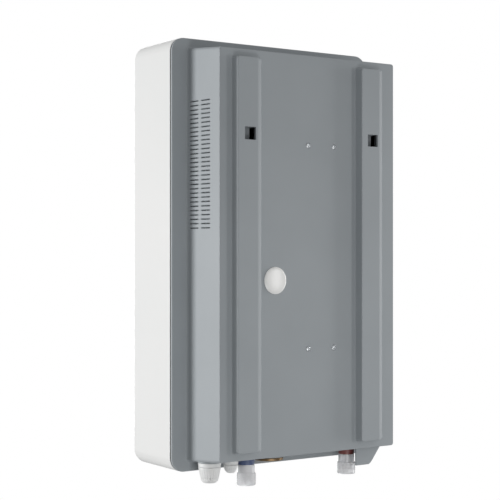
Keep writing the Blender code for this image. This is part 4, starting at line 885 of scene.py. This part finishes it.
def makeFrontCover(spec):
    low, high, centre = boxOf("front_cover")
    half = (high - low) / 2
    wall, draft, flat, edge = spec["wall"], spec["draft"], spec["flatInset"], spec["rearEdge"]
    corner, flatCorner = spec["corner"], spec["flatCorner"]
    inner = low.y + wall
    rows = [(flat, inner, flatCorner), (draft + wall, inner, corner - wall), (wall, high.y, corner - wall),
            (0.0, high.y, corner), (draft, low.y, corner), (flat, low.y, flatCorner)]
    radii = [0, spec["frontEdge"] - wall, edge, edge, spec["frontEdge"], 0]
    body = insetLoft(half.x, half.z, rows, radii, steps=10, cornerSteps=14, x=centre.x)
    cover = makePiece("frontCover", body, "satinWhiteAbs")
    gap, over = spec["gap"], spec["overrun"]
    windowLow, windowHigh, window = boxOf("display_lens")
    rim, corner = displayWindow["flange"], displayWindow["corner"]
    holes = [insetLoft(halfWidth("display_lens") - rim + gap, (windowHigh.z - windowLow.z) / 2 - rim + gap,
                       [(0, low.y - over, corner), (0, inner + over, corner)], 0, x=window.x, z=window.z)]
    for name in ("power_button", "minus_button", "plus_button"):
        holes.append(rod([(keyCap["radius"] + gap, low.y - over, inner + over)], centreOf(name), "Y"))
    sink = low.z + coverScrew["sink"]
    for name in ("cover_screw_1", "cover_screw_2"):
        steps = [(halfWidth(name) + gap, low.z - over, sink), (coverScrew["hole"], sink, low.z + wall + over)]
        holes.append(rod(steps, centreOf(name), sides=32))
    cut(cover, *holes)
    seat(evenShading(cover), "housing", "cover_white", "front_cover")


coverSeal = {"width": 0.0018, "edge": 0.0003}


def makeCoverSeal(spec):
    low, high, centre = boxOf("cover_seal")
    half = (high - low) / 2
    corner, width = frontCover["corner"], spec["width"]
    rows = [(0.0, low.y, corner), (0.0, high.y, corner), (width, high.y, corner - width),
            (width, low.y, corner - width)]
    body = insetLoft(half.x, half.z, rows, spec["edge"], steps=3, cornerSteps=12, x=centre.x, closed=True)
    seat(makePiece("coverSeal", body, "nitrileRubber"), "housing", "seal_rubber", "cover_seal")


displayWindow = {"corner": 0.004, "flange": 0.004, "flangeThickness": 0.0015, "edge": 0.0003}


def makeDisplayWindow(spec):
    low, high, centre = boxOf("display_lens")
    flange, corner = spec["flange"], spec["corner"]
    shoulder = high.y - spec["flangeThickness"]
    rows = [(flange + corner, low.y, corner), (flange, low.y, corner), (flange, shoulder, corner),
            (0.0, shoulder, corner), (0.0, high.y, corner)]
    body = insetLoft(halfWidth("display_lens"), (high.z - low.z) / 2, rows, [0, spec["edge"], 0, 0, 0],
                     x=centre.x, z=centre.z)
    window = makePiece("displayWindow", body, "smokedAcrylic")
    seat(evenShading(window), "housing", "smoked_lens", "display_lens")


keyCap = {"radius": 0.007, "flange": 0.0018, "flangeThickness": 0.0015, "edge": 0.0006, "innerEdge": 0.0002,
          "stem": 0.003, "signReach": 0.0026, "signStroke": 0.0007, "signRound": 0.9, "signProud": 0.00006,
          "signSink": 0.0004, "ringRadius": 0.0025, "ringGap": 0.9, "ringSteps": 40,
          "strokeRise": 0.72, "strokeReach": 0.5}       # the power sign's bar, in shares of the ring's radius


def signBar(x, y, z, halfWide, halfTall):
    corner = min(halfWide, halfTall) * keyCap["signRound"]
    rows = [(0, y + keyCap["signSink"], corner), (0, y - keyCap["signProud"], corner)]
    return insetLoft(halfWide, halfTall, rows, 0, cornerSteps=4, x=x, z=z)


def signArc(x, y, z):
    # an open ring, its gap at the top
    half, gap, steps = keyCap["signStroke"] / 2, keyCap["ringGap"], keyCap["ringSteps"]
    sink, proud = keyCap["signSink"], keyCap["signProud"]
    rings = []
    for i in range(steps + 1):
        angle = math.pi / 2 + gap / 2 + (2 * math.pi - gap) * i / steps
        ring = []
        for side, depth in ((-half, sink), (half, sink), (half, -proud), (-half, -proud)):
            reach = keyCap["ringRadius"] + side
            ring.append(Vector((x + reach * math.cos(angle), y + depth, z + reach * math.sin(angle))))
        rings.append(ring)
    return skin(rings)


def makeKey(name, node, signs):
    spec = keyCap
    low, high, centre = boxOf(node)
    face = low.y + spec["signProud"]
    front = boxOf("front_cover")[0].y + frontCover["wall"] + spec["edge"] / 2
    back = front + spec["flangeThickness"]
    edge, small = spec["edge"], spec["innerEdge"]
    steps = [(spec["radius"], face, front), (spec["radius"] + spec["flange"], front, back),
             (spec["stem"], back, high.y)]
    radii = [0, edge, 0, small, small, 0, small, 0]
    key = makePiece(name, rod(steps, centre, "Y", sides=64, radii=radii), "greyKeyCap")
    evenShading(key)
    printed = makePiece(name + "Sign", merged(signs(centre.x, face, centre.z)), "printedInk")
    seat(key, node, "key_grey", node)
    seat(printed, node, "key_grey")


def minusSign(x, y, z):
    return [signBar(x, y, z, keyCap["signReach"], keyCap["signStroke"] / 2)]


def plusSign(x, y, z):
    reach, half = keyCap["signReach"], keyCap["signStroke"] / 2
    arm = (reach - half) / 2
    return [signBar(x, y, z, reach, half), signBar(x, y, z + half + arm, half, arm),
            signBar(x, y, z - half - arm, half, arm)]


def powerSign(x, y, z):
    half, reach = keyCap["signStroke"] / 2, keyCap["ringRadius"]
    return [signArc(x, y, z),
            signBar(x, y, z + reach * keyCap["strokeRise"], half, reach * keyCap["strokeReach"])]


# Screws, repeated by Geometry Nodes

tankScrew = {"head": 0.0030, "headTall": 0.0021, "shank": 0.0014, "length": 0.0095, "edge": 0.0013,
             "underEdge": 0.0001, "tipEdge": 0.0003, "crossReach": 0.0022, "crossHalf": 0.00055,
             "crossDeep": 0.0015, "proud": 0.0006}
coverScrew = {"head": 0.003, "headTall": 0.0009, "shank": 0.0015, "length": 0.0081, "edge": 0.0003,
              "underEdge": 0.0001, "tipEdge": 0.0003, "crossReach": 0.0018, "crossHalf": 0.00045,
              "crossDeep": 0.0006, "sink": 0.0015, "hole": 0.0018}


def makeFastener(name, spec, turn):
    # a pan head with a cross recess; the head's top lies at the origin and faces along +Z before the turn
    tall = spec["headTall"]
    steps = [(spec["head"], 0.0, -tall), (spec["shank"], -tall, -spec["length"])]
    radii = [0, spec["edge"], spec["underEdge"], 0, spec["tipEdge"], 0]
    screw = makePiece(name, rod(steps, (0.0, 0.0, 0.0), sides=32, radii=radii), "zincPlatedSteel")
    reach, half, deep = spec["crossReach"], spec["crossHalf"], spec["crossDeep"]
    for wide, long in ((reach, half), (half, reach)):
        cut(screw, block((-wide, -long, -deep), (wide, long, deep * 2)))
    evenShading(screw).data.transform(turn)
    return screw


def makeScrewField(name, fastener, place, columnStep, rows, rowStep, stoodFor):
    field = grown(name, trees["fasteners"], {
        "Fastener": fastener, "Place": place, "Columns": 2, "Column Step": (columnStep, 0.0, 0.0),
        "Rows": rows, "Row Step": (0.0, 0.0, rowStep), "Finish": finishes["zincPlatedSteel"]})
    bpy.data.objects.remove(fastener, do_unlink=True)
    seat(field, "housing", "plated_steel", *stoodFor)


def makeTankScrews():
    names = [f"tank_screw_{i}" for i in range(1, 5)]
    xs = [centreOf(name).x for name in names]
    zs = [centreOf(name).z for name in names]
    fastener = makeFastener("tankFastener", tankScrew, Matrix.Rotation(-math.pi / 2, 4, "X"))
    corner = (min(xs), backY + tankScrew["proud"], min(zs))
    makeScrewField("tankScrews", fastener, corner, max(xs) - min(xs), 2, max(zs) - min(zs), names)


def makeCoverScrews():
    names = ["cover_screw_1", "cover_screw_2"]
    left, right = sorted(centreOf(name).x for name in names)
    low, high, centre = boxOf(names[0])
    fastener = makeFastener("coverFastener", coverScrew, Matrix.Rotation(math.pi, 4, "X"))
    makeScrewField("coverScrews", fastener, (left, centre.y, low.z), right - left, 1, 0.0, names)


makeFrontCover(frontCover)
makeCoverSeal(coverSeal)
makeDisplayWindow(displayWindow)
makeKey("powerKey", "power_button", powerSign)
makeKey("minusKey", "minus_button", minusSign)
makeKey("plusKey", "plus_button", plusSign)
makeTankScrews()
makeCoverScrews()
print("stage: front cover, window, keys and screws")


# Blanking plug over the rear cable entry

blankingPlug = {"radius": 0.0157, "dome": 0.0018, "rim": 0.0007, "crown": 0.0006, "skirt": 0.0127,
                "skirtWall": 0.0015, "split": 0.0014, "crownReach": 0.55, "crownDrop": 0.25,
                # from the crown's middle over the rim to the inside of the skirt
                "roundings": [0, 0.004, 0.0012, 0.0004, 0.0001, 0, 0.0003, 0.0003, 0, 0]}


def makeBlankingPlug(spec):
    low, high, centre = boxOf("blanking_plug")
    radius, skirt, crown, top = spec["radius"], spec["skirt"], spec["crown"], high.y
    face = backY + rearHousing["gap"]
    inside = skirt - spec["skirtWall"]
    profile = [(0, top), (radius * spec["crownReach"], top - crown * spec["crownDrop"]),
               (radius - spec["dome"], top - crown), (radius, face + spec["rim"]), (radius, face),
               (skirt, face), (skirt, low.y), (inside, low.y), (inside, face), (0, face)]
    plug = turnedPiece("blankingPlug", "whiteAcetal", profile, spec["roundings"], centre, "Y", sides=96,
                       closed=False)
    half = spec["split"] / 2
    cut(plug, block((centre.x - half, low.y - rearHousing["overrun"], centre.z - radius),
                    (centre.x + half, innerY, centre.z + radius)))
    seat(evenShading(plug), "housing", "plug_white", "blanking_plug")


# Cable glands

glandShape = {"flange": 0.0045, "flangeEdge": 0.0007, "threadEdge": 0.0005, "seatEdge": 0.0002,
              "sealSeat": 0.0055, "nutEdge": 0.0006, "noseEdge": 0.0018, "collar": 0.0016, "nose": 0.0027,
              "sealWall": 0.0020, "gap": 0.0003, "grooveRadius": 0.0009, "grooveStand": 0.0003,
              "grooveStart": 1.6, "grooveEnd": 1.4, "grooveLean": 0.12}     # shares of collar, nose and taper
mainsGland = {"thread": 0.010, "bore": 0.0065, "nutEnd": 0.0099, "grooves": 24}
controlGland = {"thread": 0.0062, "bore": 0.0042, "nutEnd": 0.0068, "grooves": 18}


def makeGlandBase(prefix, node, spec):
    shape = glandShape
    low, high, centre = boxOf(node + "_body")
    flange = halfWidth(node + "_body")
    under = rearHousing["padLow"] - rearHousing["gap"]
    thread, bore = spec["thread"], spec["bore"]
    out = bore + shape["sealWall"] / 2 + shape["gap"]
    step = low.z + shape["sealSeat"]
    profile = [(bore, high.z), (thread, high.z), (thread, under), (flange, under),
               (flange, under - shape["flange"]), (thread, under - shape["flange"]), (thread, low.z),
               (out, low.z), (out, step), (bore, step)]
    edge = shape["threadEdge"]
    radii = [0, edge, 0, shape["seatEdge"], shape["flangeEdge"], 0, edge, 0, 0, 0]
    base = turnedPiece(prefix + "Base", "lightGreyNylon", profile, radii, centre)
    seat(evenShading(base), "housing", "gland_grey", node + "_body")


def makeGlandDome(prefix, node, spec):
    shape = glandShape
    gap, edge, nose, blunt = shape["gap"], shape["nutEdge"], shape["nose"], shape["noseEdge"]
    low, high, nut = boxOf(node + "_nut")
    wide, end = halfWidth(node + "_body") - gap, spec["nutEnd"]
    inside = spec["thread"] + gap
    shoulder = boxOf(node + "_seal")[0].z - gap
    mouth = spec["bore"] + shape["sealWall"] / 2 - shape["sealWall"]
    profile = [(inside, high.z), (wide, high.z), (wide, high.z - shape["collar"]), (end, low.z + nose),
               (end - nose, low.z), (mouth + gap, low.z), (mouth, shoulder), (inside, shoulder)]
    radii = [0, edge, edge, blunt, blunt / 2, edge, 0, 0]
    dome = turnedPiece(prefix + "Dome", "lightGreyNylon", profile, radii, nut, sides=96)
    stand = shape["grooveStand"]
    grooves = grown("grooves", trees["ribs"], {
        "Place": (nut.x, nut.y, 0.0), "Count": spec["grooves"],
        "Start": (wide + stand, 0.0, high.z - shape["collar"] * shape["grooveStart"]),
        "End": (end + stand + (wide - end) * shape["grooveLean"], 0.0, low.z + nose * shape["grooveEnd"]),
        "Thickness": shape["grooveRadius"], "Finish": finishes["lightGreyNylon"]})
    combine(dome, grooves, "DIFFERENCE")
    seat(evenShading(dome), node + "_nut", "gland_grey", node + "_nut")


# Water tails: marker rings, transit caps and copper

markerRing = {"bore": 0.0078, "edge": 0.0005}


def makeMarkerRing(name, node, finish, slot):
    low, high, centre = boxOf(node)
    wide, bore, edge = halfWidth(node), markerRing["bore"], markerRing["edge"]
    profile = [(bore, high.z), (wide, high.z), (wide, low.z), (bore, low.z)]
    ring = turnedPiece(name, finish, profile, [0, edge, edge, 0], centre)
    seat(evenShading(ring), "housing", slot, node)


transitCap = {"bore": 0.0078, "sleeve": 0.00965, "sleeveLength": 0.0097, "edge": 0.0005, "mouthEdge": 0.0002,
              "stepEdge": 0.0003, "shoulder": 0.0009, "dishInset": 0.0022, "dishDeep": 0.0020, "roof": 0.0003,
              "hoops": 5, "hoopThickness": 0.00032, "hoopPitch": 0.0021, "hoopStart": 0.0026}


def makeTransitCap(name, node, pipeNode):
    spec = transitCap
    low, high, centre = boxOf(node)
    bore, sleeve, edge, shoulder = spec["bore"], spec["sleeve"], spec["edge"], spec["shoulder"]
    band = halfWidth(node) - spec["hoopThickness"] / 2
    roof = boxOf(pipeNode)[0].z - spec["roof"]
    step = high.z - spec["sleeveLength"]
    dish, floor = band - spec["dishInset"], low.z + spec["dishDeep"]
    profile = [(0, roof), (bore, roof), (bore, high.z), (sleeve, high.z), (sleeve, step), (band, step),
               (band, low.z), (dish, low.z), (dish - edge, floor), (0, floor)]
    radii = [0, edge, spec["mouthEdge"], edge, spec["stepEdge"], shoulder, shoulder, edge, edge, 0]
    cap = turnedPiece(name, "softPolyethylene", profile, radii, centre, sides=80, closed=False)
    hoops = grown("hoops", trees["hoops"], {
        "Radius": band, "Thickness": spec["hoopThickness"],
        "Place": (centre.x, centre.y, low.z + spec["hoopStart"]),
        "Columns": 1, "Column Step": (0.0, 0.0, 0.0),
        "Rows": spec["hoops"], "Row Step": (0.0, 0.0, spec["hoopPitch"]),
        "Finish": finishes["softPolyethylene"]})
    combine(cap, hoops, "UNION")
    seat(evenShading(cap), node, "cap_clear", node)


copperTube = {"tailRadius": 0.0075, "wall": 0.001, "sides": 40, "stub": 0.004,
              "bendSteps": 28, "bendPull": 2 / 3}


def tube(path, radius, wall, sides):
    # outer skin one way and the bore back
    outer, inner = [], []
    side = (path[1] - path[0]).orthogonal().normalized()
    for i, point in enumerate(path):
        along = (path[min(i + 1, len(path) - 1)] - path[max(i - 1, 0)]).normalized()
        side = (side - along * side.dot(along)).normalized()
        other = along.cross(side)
        spokes = [side * math.cos(2 * math.pi * k / sides) + other * math.sin(2 * math.pi * k / sides)
                  for k in range(sides)]
        outer.append([point + s * radius for s in spokes])
        inner.append([point + s * (radius - wall) for s in spokes])
    return skin(outer + inner[::-1], closed=True)


def bendBetween(start, startPull, endPull, end, steps):
    points = []
    for i in range(steps + 1):
        t = i / steps
        points.append((1 - t) ** 3 * start + 3 * (1 - t) ** 2 * t * startPull
                      + 3 * (1 - t) * t ** 2 * endPull + t ** 3 * end)
    return points


def makeInletTail(spec):
    low, high, centre = boxOf("inlet_pipe")
    path = [Vector((centre.x, centre.y, z)) for z in (low.z, high.z)]
    body = tube(path, (high.y - low.y) / 2, spec["wall"], spec["sides"])
    seat(makePiece("inletTail", body, "nickelPlatedCopper"), "housing", "copper", "inlet_pipe")


def makeOutletRun(spec):
    # from the port near the tank's top, round one bend and straight down through the floor
    low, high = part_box("outlet_pipe")
    x, y = centreOf("outlet_collar").xy
    radius, stubLength = spec["tailRadius"], spec["stub"]
    port = high.z - radius
    start = Vector((high.x, centreOf("heater_head").y, port))
    reach = start.x - stubLength - x
    bend = Vector((x, y, port - reach))
    stub = Vector((-stubLength, 0.0, 0.0))
    pull = Vector((-reach * spec["bendPull"], 0.0, 0.0))
    rise = Vector((0.0, 0.0, reach * spec["bendPull"]))
    path = [start] + bendBetween(start + stub, start + stub + pull, bend + rise, bend, spec["bendSteps"])
    path += [Vector((x, y, bend.z - stubLength)), Vector((x, y, low.z))]
    body = tube(path, radius, spec["wall"], spec["sides"])
    seat(makePiece("outletRun", body, "nickelPlatedCopper"), "housing", "copper", "outlet_pipe")


strainerPlug = {"edge": 0.0006, "shank": 0.012, "headTall": 0.0034, "socket": 0.0052, "socketDeep": 0.0024}


def makeStrainerPlug(spec):
    low, high, centre = boxOf("filter_plug")
    under = rearHousing["padLow"] - rearHousing["gap"]
    end, edge = under - spec["headTall"], spec["edge"]
    steps = [(spec["shank"], high.z, under), (halfWidth("filter_plug"), under, end)]
    body = rod(steps, centre, sides=72, radii=[0, edge, 0, edge, edge, 0])
    plug = makePiece("strainerPlug", body, "machinedBrass")
    cut(plug, rod([(spec["socket"], end - edge, end + spec["socketDeep"])], centre, sides=6))
    seat(evenShading(plug), "housing", "brass", "filter_plug")


makeBlankingPlug(blankingPlug)
for prefix, node, gland in (("mainsGland", "mains_gland", mainsGland),
                            ("controlGland", "control_gland", controlGland)):
    makeGlandBase(prefix, node, gland)
    makeGlandDome(prefix, node, gland)
makeMarkerRing("inletRing", "inlet_collar", "bluePolypropylene", "collar_blue")
makeMarkerRing("outletRing", "outlet_collar", "redPolypropylene", "collar_red")
makeTransitCap("inletTransitCap", "inlet_cap", "inlet_pipe")
makeTransitCap("outletTransitCap", "outlet_cap", "outlet_pipe")
makeInletTail(copperTube)
makeOutletRun(copperTube)
makeStrainerPlug(strainerPlug)
print("stage: plug, glands, rings, caps and copper")


# Inner nodes keep their solids and take a finish

innerFinishes = {
    "lightGreyNylon": ["mains_gland_locknut", "control_gland_locknut", "cable_clamp"],
    "nitrileRubber": ["mains_gland_seal", "control_gland_seal", "head_gasket"],
    "solderMask": ["display_board", "power_board"],
    "machinedBrass": ["inlet_block", "heater_head", "earth_stud"],
    "drawnStainless": ["inlet_strainer", "heating_element_1", "heating_element_2", "heating_element_3"],
    "blackPhenolic": ["flow_sensor_body", "safety_cutout", "outlet_sensor", "triac_1", "triac_2", "triac_3"],
    "whiteAcetal": ["flow_turbine"],
    "drawnCopper": ["feed_pipe"],
    "glassFilledNylon": ["heater_tank"],
    "zincPlatedSteel": ["head_bolt_1", "head_bolt_2", "head_bolt_3", "head_bolt_4"],
    "redAcetal": ["cutout_button"],
    "extrudedAluminium": ["heat_sink"],
    "bluePolyester": ["safety_relay"],
    "creamNylon": ["terminal_block"],
}

for finish, names in innerFinishes.items():
    for name in names:
        node = nodes[name]
        node.data.materials.clear()
        node.data.materials.append(finishes[finish])
print("stage: inner nodes dressed")
